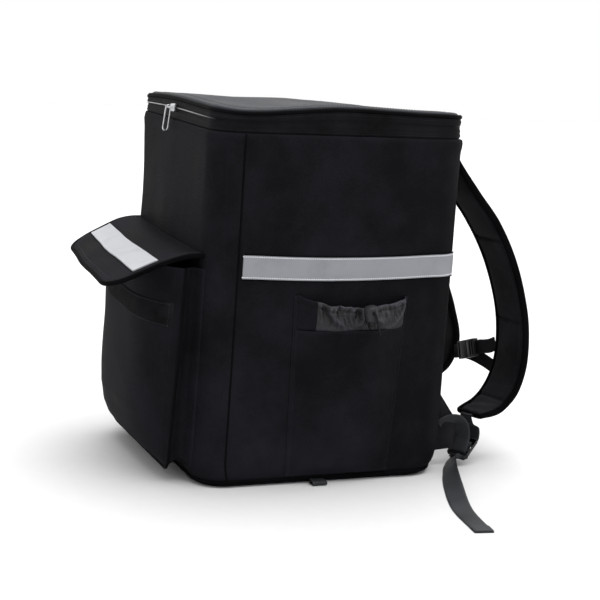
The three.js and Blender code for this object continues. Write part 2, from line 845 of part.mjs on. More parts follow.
function collarTop(a) {
  return bottleTop + gap + collarHeight - collarSag * (1 - Math.abs(a - 0.1) ** 2.2 / 1.1 ** 2.2);
}

function collarPoint(a, row, offset) {
  const z = bottleTop + gap + row.up * (collarTop(a) - bottleTop - gap);
  const fade = Math.sqrt(Math.max(1 - a * a, 0));
  const fold = gatherDepth * row.gather * fade * Math.sin(a * Math.PI * collarGathers);
  return bottlePoint(a, z, row.full, offset + fold + gatherDepth * row.gather * fade);
}

const collarGrid = (offset) => grid(collarTable, steps(-1, 1, 3 * collarGathers), (row, a) => collarPoint(a, row, offset));
const pocketCollar = slab(collarGrid(bottleThickness), collarGrid(0));

for (const [side, shape] of [['right', (g) => g], ['left', mirrored]]) {
  add(`bottle_pocket_${side}`, shape(bottlePocket), finish(0x202124, 0.75));
  add(`pocket_collar_${side}`, shape(pocketCollar), finish(0x2c2e31, 0.4));
}

// Spring cord lock on each collar, and the drawcord that hangs from it
const lockY = bottleMiddle + lockPlace;
const lockShare = lockPlace / (bottleTopWidth / 2);
const lockTopZ = collarTop(lockShare) + lockRise;
const lockBelly = bottleBelly * 1.1 + gatherDepth + bottleThickness;
const lockX = rightWall(lockY, lockTopZ) + gap + lockBelly + lockDiameter / 2 + 3 * gap;
const lockMiddleZ = lockTopZ - lockHeight / 2;
const boreRadius = lockDiameter / 2 - lockWall;
const crossHole = drawcordDiameter + 1.2;
const holeHeight = 0.1 * lockHeight;
const headGap = lockTravel + 1;

// A turned piece, from its profile given from the top down.
function turned(pairs) {
  const profile = pairs.map(([radius, z]) => new THREE.Vector2(radius, z)).reverse();
  return new THREE.LatheGeometry(profile, 16).rotateX(Math.PI / 2);
}

const halfLock = lockHeight / 2;
const outer = lockDiameter / 2;
const barrelTurned = turned([
  [0, halfLock], [0.6 * outer, halfLock], [outer, halfLock - 2], [outer, -halfLock + 1],
  [outer - 1, -halfLock], [boreRadius, -halfLock], [boreRadius, halfLock - lockWall], [0, halfLock - lockWall],
]);
const crossDrill = new THREE.CylinderGeometry(crossHole / 2, crossHole / 2, 2 * lockDiameter, 10).rotateZ(Math.PI / 2);
crossDrill.translate(0, 0, holeHeight);
const barrel = toGeometry(toSolid(barrelTurned).subtract(toSolid(crossDrill)));

const plunger = boreRadius - gap;
const plungerTop = halfLock - lockWall - lockTravel - gap;
const buttonTurned = turned([
  [0, plungerTop], [plunger, plungerTop], [plunger, -halfLock - headGap],
  [plunger + 1, -halfLock - headGap - 1], [plunger + 1, -halfLock - headGap - buttonHead + 4],
  [plunger - 1, -halfLock - headGap - buttonHead + 2], [0, -halfLock - headGap - buttonHead + 2],
]);
const slotHeight = crossHole + lockTravel;
const buttonSlot = block(3 * lockDiameter, crossHole, slotHeight, 0, 0, holeHeight - lockTravel / 2);
const button = toGeometry(toSolid(buttonTurned).subtract(toSolid(buttonSlot)));

// The drawcord leaves the hem behind the lock, passes through it and hangs in front of the collar.
const cordTable = table(['out', 'along', 'down'], [
  [-1.05, 0, 0],
  [-0.3, 0, 0],
  [0.4, 0, 0],
  [1.1, 0, 0],
  [1.4, 0.04, 0.08],
  [1.52, 0.1, 0.32],
  [1.45, 0.2, 0.64],
  [1.3, 0.32, 1],
]);
const cordDrop = 28;
const lean = lockLean * Math.PI / 180;
const holeZ = lockMiddleZ + holeHeight * Math.cos(lean);
const holeY = lockY - holeHeight * Math.sin(lean);
const cordPoints = cordTable.map((row) => vec(
  lockX + row.out * outer,
  holeY + row.along * cordDrop,
  holeZ - row.down * cordDrop,
));
const cordSection = new THREE.Shape();
cordSection.absarc(0, 0, drawcordDiameter / 2, 0, 2 * Math.PI, false);
const cordCurve = new THREE.CatmullRomCurve3(cordPoints, false, 'centripetal');
const cordTube = new THREE.ExtrudeGeometry(cordSection, { extrudePath: cordCurve, steps: 14, curveSegments: 3 });
const drawcord = toGeometry(toSolid(cordTube));

for (const side of [1, -1]) {
  const word = side > 0 ? 'right' : 'left';
  const lockGroup = new THREE.Group();
  lockGroup.position.set(side * lockX, lockY, lockMiddleZ);
  lockGroup.rotation.x = lean;
  group.add(lockGroup);
  add(`cord_lock_barrel_${word}`, barrel, finish(0x101012, 0.45), lockGroup);
  add(`cord_lock_button_${word}`, button, finish(0x18181a, 0.45), lockGroup);
  add(`pocket_drawcord_${word}`, side > 0 ? drawcord : mirrored(drawcord), finish(0x1b1c1e, 0.8));
}

// Padded back
const backRows = [
  backPanelBottom, ...levels.filter((z) => z > backPanelBottom + 5 && z < backPanelTop - 5), backPanelTop,
];
const backGrid = (offset) => grid(backRows, steps(-0.5, 0.5, 10), (z, a) => {
  const x = a * backPanelWidth;
  return vec(x, backWall(x, z) + offset, z);
});
add('back_panel', slab(backGrid(backSeat + backPanelThickness), backGrid(backSeat)), finish(0x1c1d1f, 0.95));

// Shoulder straps. Columns: out from the back as a share of strapReach, up from strapFoot to strapTop,
// spread sideways as a share of strapSpread, wide and thick as shares of the strap's own.
const rightStrap = table(['out', 'up', 'spread', 'wide', 'thick'], [
  [0.0, 1.0, 0.66, 1.04, 0.3],
  [0.045, 0.965, 0.665, 1.08, 0.6],
  [0.25, 0.862, 0.72, 1.12, 0.9],
  [0.52, 0.744, 0.78, 1.12, 1],
  [0.74, 0.611, 0.83, 1.06, 1],
  [0.9, 0.462, 0.87, 1, 1],
  [0.975, 0.338, 0.9, 0.98, 1],
  [0.98, 0.192, 0.92, 0.97, 1],
  [0.88, 0.092, 0.95, 0.95, 0.95],
  [0.7, 0.03, 0.99, 0.86, 0.85],
  [0.47, 0.008, 1.05, 0.66, 0.6],
]);
const leftStrap = table(['out', 'up', 'spread', 'wide', 'thick'], [
  [0.0, 1.0, 0.66, 1.04, 0.3],
  [0.04, 0.955, 0.665, 1.08, 0.6],
  [0.16, 0.845, 0.72, 1.12, 0.9],
  [0.34, 0.72, 0.78, 1.12, 1],
  [0.52, 0.59, 0.83, 1.06, 1],
  [0.68, 0.45, 0.87, 1, 1],
  [0.85, 0.315, 0.9, 0.98, 1],
  [0.955, 0.185, 0.92, 0.97, 1],
  [0.88, 0.082, 0.95, 0.95, 0.95],
  [0.7, 0.028, 0.99, 0.86, 0.85],
  [0.47, 0.008, 1.05, 0.66, 0.6],
]);
const strapSeat = backSeat + backPanelThickness + gap + 0.15 * strapThickness;

function strapStations(rows) {
  return rows.map((row) => {
    const x = row.spread * strapSpread;
    const z = strapFoot + row.up * (strapTop - strapFoot);
    const back = backWall(x, Math.max(z, heelRise));
    return {
      at: vec(x, back + strapSeat + row.out * (strapReach - strapSeat), z),
      across: vec(1, 0, 0),
      wide: row.wide * strapWidth,
      thick: row.thick * strapThickness,
    };
  });
}

// The left side is made as the right one is, then mirrored.
const strapRuns = { right: strapStations(rightStrap), left: strapStations(leftStrap) };
const sides = [['right', (geometry) => geometry], ['left', mirrored]];
for (const [word, turn] of sides) {
  add(`shoulder_strap_${word}`, turn(sweep(strapRuns[word], 2, true)), finish(0x1b1c1e, 0.8));
}

// Ladder lock under each strap, the wing that carries it, and the webbing with its loose tail
const tilt = ladderTilt * Math.PI / 180;
const yaw = ladderYaw * Math.PI / 180;
const ladderY = bodyDepth / 2 + ladderReach;
const ladderShape = new THREE.Shape();
const halfLadder = ladderLength / 2;
const halfLadderWidth = ladderWidth / 2;
ladderShape.moveTo(-halfLadderWidth + ladderCorner, -halfLadder);
ladderShape.lineTo(halfLadderWidth - ladderCorner, -halfLadder);
ladderShape.lineTo(halfLadderWidth, -halfLadder + ladderCorner);
ladderShape.lineTo(halfLadderWidth, halfLadder - ladderCorner);
ladderShape.lineTo(halfLadderWidth - ladderCorner, halfLadder);
ladderShape.lineTo(-halfLadderWidth + ladderCorner, halfLadder);
ladderShape.lineTo(-halfLadderWidth, halfLadder - ladderCorner);
ladderShape.lineTo(-halfLadderWidth, -halfLadder + ladderCorner);
ladderShape.closePath();
const slotLength = (ladderLength - 4 * ladderBar) / 3;
const slotHalfWidth = (webbingWidth + 2) / 2;
const slotCentres = [-1, 0, 1].map((k) => k * (slotLength + ladderBar));
for (const centre of slotCentres) {
  const slot = new THREE.Path();
  slot.moveTo(-slotHalfWidth, centre - slotLength / 2);
  slot.lineTo(slotHalfWidth, centre - slotLength / 2);
  slot.lineTo(slotHalfWidth, centre + slotLength / 2);
  slot.lineTo(-slotHalfWidth, centre + slotLength / 2);
  slot.closePath();
  ladderShape.holes.push(slot);
}
const ladder = new THREE.ExtrudeGeometry(ladderShape, { depth: ladderThickness, bevelEnabled: false });
ladder.translate(0, 0, -ladderThickness / 2);

const ladderTurn = new THREE.Euler(tilt, 0, yaw, 'ZYX');
const ladderAcross = vec(Math.cos(yaw), Math.sin(yaw), 0);

function onLadder(x, y, z) {
  return vec(x, y, z).applyEuler(ladderTurn).add(vec(ladderPlace, ladderY, ladderLift));
}

const under = -ladderThickness / 2 - webbingThickness / 2 - 1.9;
const over = -under;
const barPitch = (slotLength + ladderBar) / 2;

function webbing(at, across) {
  return { at, across, wide: webbingWidth, thick: webbingThickness };
}

// The loose tail runs out over the floor, in shares of tailLength from the ladder lock.
const floorTail = {
  right: table(['outX', 'outY'], [[0.066, -0.073], [0.19, -0.149], [0.39, -0.247], [0.642, -0.34], [0.906, -0.382]]),
  left: table(['outX', 'outY'], [[0.066, -0.073], [0.18, -0.115], [0.39, -0.104], [0.632, -0.014], [0.84, 0.2]]),
};

function webbingRun(word) {
  const stations = strapRuns[word];
  const end = stations[stations.length - 1];
  const route = new THREE.CatmullRomCurve3(stations.map((s) => s.at), false, 'centripetal');
  const ahead = route.getTangent(1);
  const across = vec(1, 0, 0);
  const mixed = across.clone().add(ladderAcross);
  const floor = webbingThickness / 2 + 0.1;
  const start = onLadder(0, 0, 0);
  const run = [
    webbing(end.at.clone().addScaledVector(ahead, 0.4), across),
    webbing(end.at.clone().addScaledVector(ahead, 7), across),
    webbing(end.at.clone().addScaledVector(ahead, 10).add(vec(3, 3, -9)), mixed),
    webbing(onLadder(0, halfLadder + strapClimb, over + 3), ladderAcross),
    webbing(onLadder(0, halfLadder + 4, under), ladderAcross),
    webbing(onLadder(0, slotCentres[2] + barPitch, under), ladderAcross),
    webbing(onLadder(0, slotCentres[2], 0), ladderAcross),
    webbing(onLadder(0, slotCentres[2] - barPitch, over), ladderAcross),
    webbing(onLadder(0, slotCentres[1], 0), ladderAcross),
    webbing(onLadder(0, slotCentres[1] - barPitch, under), ladderAcross),
    webbing(onLadder(0, slotCentres[0] - 2, under - 3.2), ladderAcross),
  ];
  const tail = floorTail[word];
  tail.forEach((row, i) => {
    const before = i > 0 ? tail[i - 1] : { outX: 0, outY: 0 };
    const along = vec(row.outX - before.outX, row.outY - before.outY, 0).normalize();
    const at = vec(start.x + row.outX * tailLength, start.y + row.outY * tailLength, floor);
    run.push(webbing(at, vec(-along.y, along.x, 0)));
  });
  return run;
}

function wingPoint(up, out, x) {
  const z = wingBottom + up * wingHeight;
  const wallY = backWall(ladderPlace + wingPlace, z) + gap;
  const low = vec(x, bodyDepth / 2 + 0.45 * wingReach, wingBottom + 0.2 * wingHeight);
  const high = vec(x, bodyDepth / 2 + wingReach, wingBottom + 0.46 * wingHeight);
  return vec(x, wallY, z).lerp(low.lerp(high, up), out);
}

const wingRows = [0, ...levels.map((z) => (z - wingBottom) / wingHeight).filter((up) => up > 0.05 && up < 0.95), 1];
const wingGrid = (x) => grid(wingRows, [0, 0.5, 1], (up, out) => wingPoint(up, out, x));
const wingX = ladderPlace + wingPlace;
const wing = slab(wingGrid(wingX + wingThickness / 2), wingGrid(wingX - wingThickness / 2));

const wingAcross = wingPoint(1, 1, wingX).sub(wingPoint(0, 1, wingX)).normalize();
const wingAhead = vec(0, wingAcross.z, -wingAcross.y);
const wingMiddle = wingPoint(0.5, 1, wingX + wingThickness / 2 + gap + webbingThickness / 2);
const anchorRun = [
  webbing(wingMiddle.clone().addScaledVector(wingAhead, -9), wingAcross),
  webbing(wingMiddle.clone().addScaledVector(wingAhead, 1), wingAcross),
  webbing(wingMiddle.clone().addScaledVector(wingAhead, 9).add(vec(-1, 0, -2)), wingAcross.clone().add(ladderAcross)),
  webbing(onLadder(0, slotCentres[0], anchorClimb), ladderAcross),
  webbing(onLadder(0, slotCentres[0], 4), ladderAcross),
  webbing(onLadder(0, slotCentres[0], -0.5), ladderAcross),
  webbing(onLadder(0, slotCentres[0] - barPitch + 1, under + 0.3), ladderAcross),
  webbing(onLadder(0, slotCentres[0] - barPitch - 2, under + 0.4), ladderAcross),
];
const anchorWebbing = sweep(anchorRun, 2);

for (const [word, turn] of sides) {
  const lockFrame = new THREE.Group();
  const side = word === 'right' ? 1 : -1;
  lockFrame.position.set(side * ladderPlace, ladderY, ladderLift);
  lockFrame.rotation.set(tilt, 0, side * yaw, 'ZYX');
  group.add(lockFrame);
  add(`ladder_lock_${word}`, ladder, finish(0x0e0e10, 0.4), lockFrame);
  add(`strap_webbing_${word}`, turn(sweep(webbingRun(word), 2)), finish(0x26272a, 0.8));
  add(`anchor_wing_${word}`, turn(wing), finish(0x17181a, 0.8));
  add(`anchor_webbing_${word}`, turn(anchorWebbing), finish(0x26272a, 0.8));
}

// Chest strap between the two shoulder straps, with its side-release buckle fastened
function strapEdge(stations, z, side) {
  const next = stations.findIndex((s) => s.at.z < z);
  const low = stations[next];
  const high = stations[next - 1];
  const share = (high.at.z - z) / (high.at.z - low.at.z);
  const at = high.at.clone().lerp(low.at, share);
  const wide = high.wide + (low.wide - high.wide) * share;
  return vec(side * (at.x - wide / 2 - 2 * gap), at.y, z);
}

const chestStart = strapEdge(strapRuns.right, sternumHeight, 1);
const chestEnd = strapEdge(strapRuns.left, sternumHeight - sternumFall, -1);
const chestSlant = 0.6 * sternumWidth * sternumFall / Math.abs(chestEnd.x - chestStart.x) + gap;
chestStart.x -= chestSlant;
chestEnd.x += chestSlant;
const chestAhead = chestEnd.clone().sub(chestStart).normalize();
const chestUp = vec(0, 0, 1).addScaledVector(chestAhead, -chestAhead.z).normalize();
const chestOut = chestUp.clone().cross(chestAhead);
const chestLength = chestEnd.distanceTo(chestStart);

function onChest(along, out, up) {
  return chestStart.clone().addScaledVector(chestAhead, along)
    .addScaledVector(chestOut, out).addScaledVector(chestUp, up);
}

function chestStation(at, across = chestUp) {
  return { at, across, wide: sternumWidth, thick: webbingThickness };
}

const buckleGroup = new THREE.Group();
const buckleMiddle = onChest(buckleShare * chestLength, 0, 0);
buckleGroup.matrixAutoUpdate = false;
buckleGroup.matrix.makeBasis(chestAhead, chestOut, chestUp).setPosition(buckleMiddle);
group.add(buckleGroup);

const socketLength = 0.56 * buckleLength;
const plugLength = buckleLength - socketLength;
const cavityThickness = buckleThickness - 2 * buckleWall;
const cavityWidth = buckleWidth - 2 * buckleWall;
const cavityDepth = socketLength - 9;
const windowStart = 0.2 * cavityDepth;
const windowEnd = 0.8 * cavityDepth;
const barSlot = 3.4;

function slab3(x0, x1, y, z) {
  return toSolid(block(x1 - x0, y, z, (x0 + x1) / 2, 0, 0));
}

const socketSolid = slab3(0, socketLength, buckleThickness, buckleWidth)
  .subtract(slab3(-2, cavityDepth, cavityThickness, cavityWidth))
  .subtract(slab3(windowStart, windowEnd, cavityThickness, 2 * buckleWidth))
  .subtract(slab3(socketLength - 2.4 - barSlot, socketLength - 2.4, 2 * buckleThickness, sternumWidth + 1));
const prongThickness = cavityThickness - 2 * gap;
const prongs = [-1, 1].map((side) => {
  const prongWidth = 0.17 * cavityWidth;
  const z = side * (cavityWidth / 2 - gap - prongWidth / 2);
  const arm = toSolid(block(cavityDepth, prongThickness, prongWidth, cavityDepth / 2 - 1 - gap, 0, z));
  const barbLength = windowEnd - windowStart - 2 * gap;
  const barbZ = side * (cavityWidth / 2 + buckleWall / 2 - 1);
  const barb = block(barbLength, prongThickness, buckleWall + 1.4, (windowStart + windowEnd) / 2, 0, barbZ);
  return arm.add(toSolid(barb));
});
const plugSolid = slab3(-plugLength, -gap, buckleThickness, buckleWidth)
  .add(prongs[0])
  .add(prongs[1])
  .add(slab3(-2, 0.9 * cavityDepth, prongThickness, 0.16 * cavityWidth))
  .subtract(slab3(-plugLength + 2.4, -plugLength + 2.4 + barSlot, 2 * buckleThickness, sternumWidth + 1))
  .subtract(slab3(-plugLength + 5 + barSlot, -plugLength + 5 + 2 * barSlot, 2 * buckleThickness, sternumWidth + 1));
const socketX = (plugLength - socketLength) / 2;
add('sternum_socket', toGeometry(socketSolid).translate(socketX, 0, 0), finish(0x111113, 0.4), buckleGroup);
add('sternum_plug', toGeometry(plugSolid).translate(socketX, 0, 0), finish(0x111113, 0.4), buckleGroup);

const buckleStart = buckleShare * chestLength - buckleLength / 2;
const buckleEnd = buckleShare * chestLength + buckleLength / 2;
const chestStraight = 0.8;
const rightChest = [0, 0.3, 0.6, chestStraight, 1].map((share) => {
  const sag = chestSag * Math.sin(Math.PI * Math.min(share / chestStraight, 1)) ** 2;
  return chestStation(onChest(share * (buckleStart - gap), 0, -sag));
});
add('sternum_webbing_right', sweep(rightChest, 1), finish(0x2a2b2e, 0.75));
const leftChest = [buckleEnd + gap, 0.5 * (buckleEnd + chestLength), chestLength].map((along) => (
  chestStation(onChest(along, 0, 0))
));
add('sternum_webbing_left', sweep(leftChest, 1), finish(0x2a2b2e, 0.75));

// Its loose end turns back behind the plug, in shares of sternumTailLength.
const chestTail = table(['back', 'in', 'down'], [
  [0, 0, 0.02],
  [0.2, 0.01, 0.08],
  [0.45, 0.04, 0.2],
  [0.72, 0.08, 0.37],
  [1, 0.1, 0.58],
]);
const tailSeat = -(buckleThickness + webbingThickness) / 2 - gap;
const tailRun = chestTail.map((row) => chestStation(
  onChest(
    buckleEnd - 2 - row.back * sternumTailLength,
    tailSeat - row.in * sternumTailLength,
    -row.down * sternumTailLength,
  ),
  chestUp.clone().addScaledVector(chestAhead, -0.9 * row.back),
));
add('sternum_tail', sweep(tailRun, 2), finish(0x3a3c40, 0.75));

export default group;
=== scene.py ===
# Insulated delivery backpack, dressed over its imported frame.
# Lengths are in millimetres until a mesh is made; +Z up, front pocket towards -Y, straps towards +Y.
import math
import bpy
import bmesh
import numpy as np
from mathutils import Matrix, Vector, noise
from mathutils.kdtree import KDTree


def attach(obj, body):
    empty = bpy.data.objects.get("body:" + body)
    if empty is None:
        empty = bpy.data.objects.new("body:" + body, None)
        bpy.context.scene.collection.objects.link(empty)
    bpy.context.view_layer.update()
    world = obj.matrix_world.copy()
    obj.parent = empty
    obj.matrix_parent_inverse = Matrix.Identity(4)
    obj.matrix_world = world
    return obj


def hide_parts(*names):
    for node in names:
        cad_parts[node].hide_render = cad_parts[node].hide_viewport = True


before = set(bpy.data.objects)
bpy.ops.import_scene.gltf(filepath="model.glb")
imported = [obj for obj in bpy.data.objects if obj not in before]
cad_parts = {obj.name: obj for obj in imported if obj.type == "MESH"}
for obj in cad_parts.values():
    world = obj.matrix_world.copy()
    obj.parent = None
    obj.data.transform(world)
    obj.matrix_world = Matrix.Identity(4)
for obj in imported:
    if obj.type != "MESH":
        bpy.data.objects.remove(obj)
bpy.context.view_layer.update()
print("frame loaded:", len(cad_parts), "nodes")

# the camera of the photograph, solved from the body's edges
view = {"azimuth": 66.67, "elevation": 10.97, "roll": -3.84, "place": (1851.12, -779.97, 593.73),
        "focal": 1518.44}


def makeCamera():
    a, e, r = (math.radians(view[k]) for k in ("azimuth", "elevation", "roll"))
    back = Vector((math.sin(a) * math.cos(e), -math.cos(a) * math.cos(e), math.sin(e)))
    flat = Vector((math.cos(a), math.sin(a), 0))
    rise = back.cross(flat)
    right = flat * math.cos(r) - rise * math.sin(r)
    up = flat * math.sin(r) + rise * math.cos(r)
    data = bpy.data.cameras.new("photoCamera")
    data.sensor_width = 36
    data.lens = view["focal"] * 36 / 600  # focal length in pixels of a 600 pixel picture
    data.clip_start, data.clip_end = 0.05, 60
    camera = bpy.data.objects.new("photoCamera", data)
    turn = Matrix((right, up, back)).transposed().to_4x4()
    camera.matrix_world = Matrix.Translation(Vector(view["place"]) * 0.001) @ turn
    bpy.context.scene.collection.objects.link(camera)
    bpy.context.scene.camera = camera


makeCamera()


# sRGB hex to linear.
def colour(code):
    parts = [int(code[i:i + 2], 16) / 255 for i in (1, 3, 5)]
    return tuple(v / 12.92 if v <= 0.04045 else ((v + 0.055) / 1.055) ** 2.4 for v in parts) + (1.0,)


def add(tree, kind, links=None, **settings):
    made = tree.nodes.new(kind)
    for key, value in settings.items():
        setattr(made, key, value)
    for socket, value in (links or {}).items():
        target = made.inputs[socket]
        if isinstance(value, bpy.types.NodeSocket):
            tree.links.new(value, target)
        else:
            target.default_value = value
    return made


def sums(tree, operation, a, b=0.0, c=0.0):
    return add(tree, "ShaderNodeMath", {0: a, 1: b, 2: c}, operation=operation).outputs[0]


def noiseAt(tree, place, scale, detail, roughness=0.5, distortion=0.0):
    return add(tree, "ShaderNodeTexNoise", {"Vector": place, "Scale": scale, "Detail": detail,
                                            "Roughness": roughness, "Distortion": distortion}).outputs[0]


def ramp(tree, value, fromMin=0.0, fromMax=1.0, toMin=0.0, toMax=1.0):
    return add(tree, "ShaderNodeMapRange", {"Value": value, "From Min": fromMin, "From Max": fromMax,
                                            "To Min": toMin, "To Max": toMax}).outputs[0]


def blend(tree, share, first, second):
    return add(tree, "ShaderNodeMix", {0: share, 6: colour(first), 7: colour(second)},
               data_type="RGBA").outputs[2]


def relief(tree, height, strength, distance):
    return add(tree, "ShaderNodeBump", {"Strength": strength, "Distance": distance,
                                        "Height": height}).outputs[0]


def shaded(made, tree, sockets):
    shader = add(tree, "ShaderNodeBsdfPrincipled", sockets)
    add(tree, "ShaderNodeOutputMaterial", {0: shader.outputs[0]})
    return made


def freshMaterial(name):
    made = bpy.data.materials.new(name)
    made.use_nodes = True
    made.node_tree.nodes.clear()
    return made, made.node_tree


# sine of each coordinate, one wave to each pitch in metres.
def waves(tree, vector, pitch):
    scaled = add(tree, "ShaderNodeVectorMath", {0: vector, "Scale": 2 * math.pi / pitch},
                 operation="SCALE").outputs[0]
    sine = add(tree, "ShaderNodeVectorMath", {0: scaled}, operation="SINE").outputs[0]
    return add(tree, "ShaderNodeSeparateXYZ", {0: sine}).outputs


# a cloth whose thread, in mm, is drawn coarser than life where it has to show.
def wovenCloth(name, base, light, thread=1.1, rough=(0.5, 0.7), depth=0.12, own=False, ribs=False, cloud=70,
               crease=0.0, creaseShade=0.0, edgeWearAndLight=0.5, specular=0.03, metallic=0.0):
    made, tree = freshMaterial(name)
    where = add(tree, "ShaderNodeTexCoord").outputs
    place = where["Object"]
    sx, sy, sz = waves(tree, where["UV"] if own else place, thread * 0.002)
    weave = sums(tree, "MULTIPLY", sx, sy)
    if not own:
        weave = sums(tree, "MULTIPLY_ADD", sz, sums(tree, "ADD", sx, sy), weave)
    elif ribs:
        weave = sums(tree, "MULTIPLY_ADD", weave, 0.35, sums(tree, "MULTIPLY", sx, 0.8))
    patches = noiseAt(tree, place, 1000 / cloud, 5.0, 0.6)
    flecks = noiseAt(tree, place, 420.0, 2.0)
    share = sums(tree, "MULTIPLY_ADD", patches, 2.4, -0.9)
    share = sums(tree, "MULTIPLY_ADD", weave, 0.05, share)
    share = sums(tree, "MULTIPLY_ADD", flecks, 0.5, sums(tree, "SUBTRACT", share, 0.25))
    # by pointiness: hollows are painted darker as painted shade in the creases; edges and ridges are lighter
    # as real wear, and on the collar also as painted light on its fold ridges
    edge = add(tree, "ShaderNodeNewGeometry").outputs["Pointiness"]
    edgeTone = ramp(tree, edge, 0.44 if creaseShade else 0.52, 0.62, -creaseShade, edgeWearAndLight)
    share = add(tree, "ShaderNodeMath", {0: share, 1: edgeTone}, operation="ADD", use_clamp=True).outputs[0]
    height = weave
    if crease:
        folds = noiseAt(tree, place, 46.0, 4.0, distortion=0.6)
        height = sums(tree, "MULTIPLY_ADD", folds, crease, height)
    height = sums(tree, "MULTIPLY_ADD", flecks, 0.5, height)
    return shaded(made, tree, {
        "Base Color": blend(tree, share, base, light), "Roughness": ramp(tree, patches, 0.3, 0.7, *rough),
        "Normal": relief(tree, height, 0.55, depth * 0.001), "Specular IOR Level": specular,
        "Metallic": metallic})


def mouldedPlastic(name, base, light, rough=0.38, specular=0.22):
    made, tree = freshMaterial(name)
    place = add(tree, "ShaderNodeTexCoord").outputs["Object"]
    grain = noiseAt(tree, place, 1800.0, 2.0)
    scuffs = noiseAt(tree, place, 160.0, 6.0, 0.7)
    edge = add(tree, "ShaderNodeNewGeometry").outputs["Pointiness"]
    edgeTone = ramp(tree, edge, 0.5, 0.6, toMax=0.8)
    share = add(tree, "ShaderNodeMath", {0: scuffs, 1: edgeTone}, operation="MULTIPLY",
                use_clamp=True).outputs[0]
    gloss = ramp(tree, scuffs, toMin=rough - 0.1, toMax=rough + 0.16)
    return shaded(made, tree, {"Base Color": blend(tree, share, base, light), "Roughness": gloss,
                               "IOR": 1.48, "Normal": relief(tree, grain, 0.25, 0.00006),
                               "Specular IOR Level": specular})


# nickel plating; the last argument gives where, in mm along X, the teeth are painted dark as shade under the
# fold of the lid.
def platedMetal(name, base, dark, shadeAlongX=None):
    made, tree = freshMaterial(name)
    place = add(tree, "ShaderNodeTexCoord").outputs["Object"]
    smudge = noiseAt(tree, place, 300.0, 5.0)
    share = ramp(tree, smudge, 0.45, 0.75, toMax=0.5)
    if shadeAlongX:
        # painted shade: along X the teeth blend into the dark colour
        x = add(tree, "ShaderNodeSeparateXYZ", {0: place}).outputs[0]
        share = sums(tree, "MAXIMUM", share, ramp(tree, x, shadeAlongX[0] * 0.001, shadeAlongX[1] * 0.001))
    gloss = ramp(tree, smudge, toMin=0.18, toMax=0.42)
    return shaded(made, tree, {"Base Color": blend(tree, share, base, dark), "Roughness": gloss,
                               "Metallic": 1.0})


# retroreflective tape: glass beads on silver film, laid in a fine honeycomb; soft grey and even.
def beadedTape(name, base, dark):
    made, tree = freshMaterial(name)
    where = add(tree, "ShaderNodeTexCoord").outputs
    cells = add(tree, "ShaderNodeTexVoronoi", {"Vector": where["UV"], "Scale": 420.0, "Randomness": 0.15},
                feature="DISTANCE_TO_EDGE").outputs[0]
    dirt = noiseAt(tree, where["Object"], 34.0, 6.0, 0.65)
    share = sums(tree, "MAXIMUM", ramp(tree, cells, fromMax=0.12, toMin=0.35, toMax=0.0),
                 ramp(tree, dirt, 0.45, 0.8, toMax=0.55))
    gloss = ramp(tree, dirt, toMin=0.42, toMax=0.6)
    return shaded(made, tree, {"Base Color": blend(tree, share, base, dark), "Roughness": gloss,
                               "Normal": relief(tree, cells, 0.3, 0.0001), "Metallic": 0.15})


# PVC-backed oxford polyester: a dense plain weave, near black with a cool grey bloom
oxford = wovenCloth("coatedOxfordPolyester", "#0e0e10", "#1f1e24", 1.2, (0.6, 0.78), cloud=110)
# the same cloth on the lid, worn smooth, so that it mirrors the light at a low angle; its colours are tinted
# blue as a painted reflection of that sheen
lidCloth = wovenCloth("calenderedOxfordPolyester", "#0e1014", "#1f222b", 1.2, (0.44, 0.58),
                      crease=0.6, depth=0.1, specular=0.16)
# thin taffeta of the gathered collar: brighter, with fine crumples; its fold hollows carry painted shade and
# its ridges painted light
taffeta = wovenCloth("crumpledTaffeta", "#08080a", "#303037", 0.9, (0.34, 0.46),
                     crease=1.6, depth=0.3, specular=0.3, creaseShade=0.9, edgeWearAndLight=1.5)
# strap cover: matt, slightly brushed
strapCloth = wovenCloth("brushedPolyesterCover", "#161618", "#2b2b2f", 1.4, (0.62, 0.8), own=True)
# grosgrain seam tape, ribbed across its run
grosgrain = wovenCloth("grosgrainSeamTape", "#030304", "#0b0b0d", 0.9, (0.6, 0.75), own=True,
                       ribs=True, depth=0.2, specular=0.02)
# fabric-covered cord in the seams
pipingCloth = wovenCloth("coveredPipingCord", "#040405", "#0c0c0e", 0.9, (0.6, 0.72), own=True)
# woven zip tape with its herringbone drawn as ribs
zipCloth = wovenCloth("wovenZipTape", "#0a0a0b", "#19191c", 1.0, (0.5, 0.62), own=True,
                      ribs=True, depth=0.15)
# polypropylene webbing, heavy ribs and a soft shine
webCloth = wovenCloth("polypropyleneWebbing", "#1b1c1e", "#36383c", 0.9, (0.45, 0.6), own=True,
                      ribs=True, depth=0.2, specular=0.2)
darkWebbing = wovenCloth("dyedPolypropyleneWebbing", "#0d0d0f", "#212125", 0.9, (0.5, 0.64), own=True,
                         ribs=True, depth=0.2)
# spacer mesh of the padded back
spacerMesh = wovenCloth("spacerMesh", "#0a0a0c", "#1a1a1d", 2.6, (0.7, 0.85), own=True, depth=0.7)
# hook-and-loop patch: a dense dull pile
hookCloth = wovenCloth("hookAndLoopPile", "#0d0d0e", "#1e1e21", 1.5, (0.8, 0.92), own=True,
                       depth=0.5, cloud=30)
# aluminised lining, seen only when the lid is off
foilLining = wovenCloth("aluminisedFoilLining", "#8d9095", "#b9bcc0", 6, (0.25, 0.4),
                        crease=2.0, depth=0.6, metallic=0.8)
# bonded nylon thread: black in the cloth, grey where it holds a silver tape
thread = wovenCloth("bondedNylonThread", "#141416", "#29292d", 0.5, (0.4, 0.5), depth=0.05)
dullThread = wovenCloth("waxedNylonThread", "#2b2b2e", "#44444a", 0.5, (0.5, 0.6), depth=0.05)
greyThread = wovenCloth("greyNylonThread", "#b9bbc0", "#d4d6da", 0.5, (0.4, 0.5), depth=0.05)
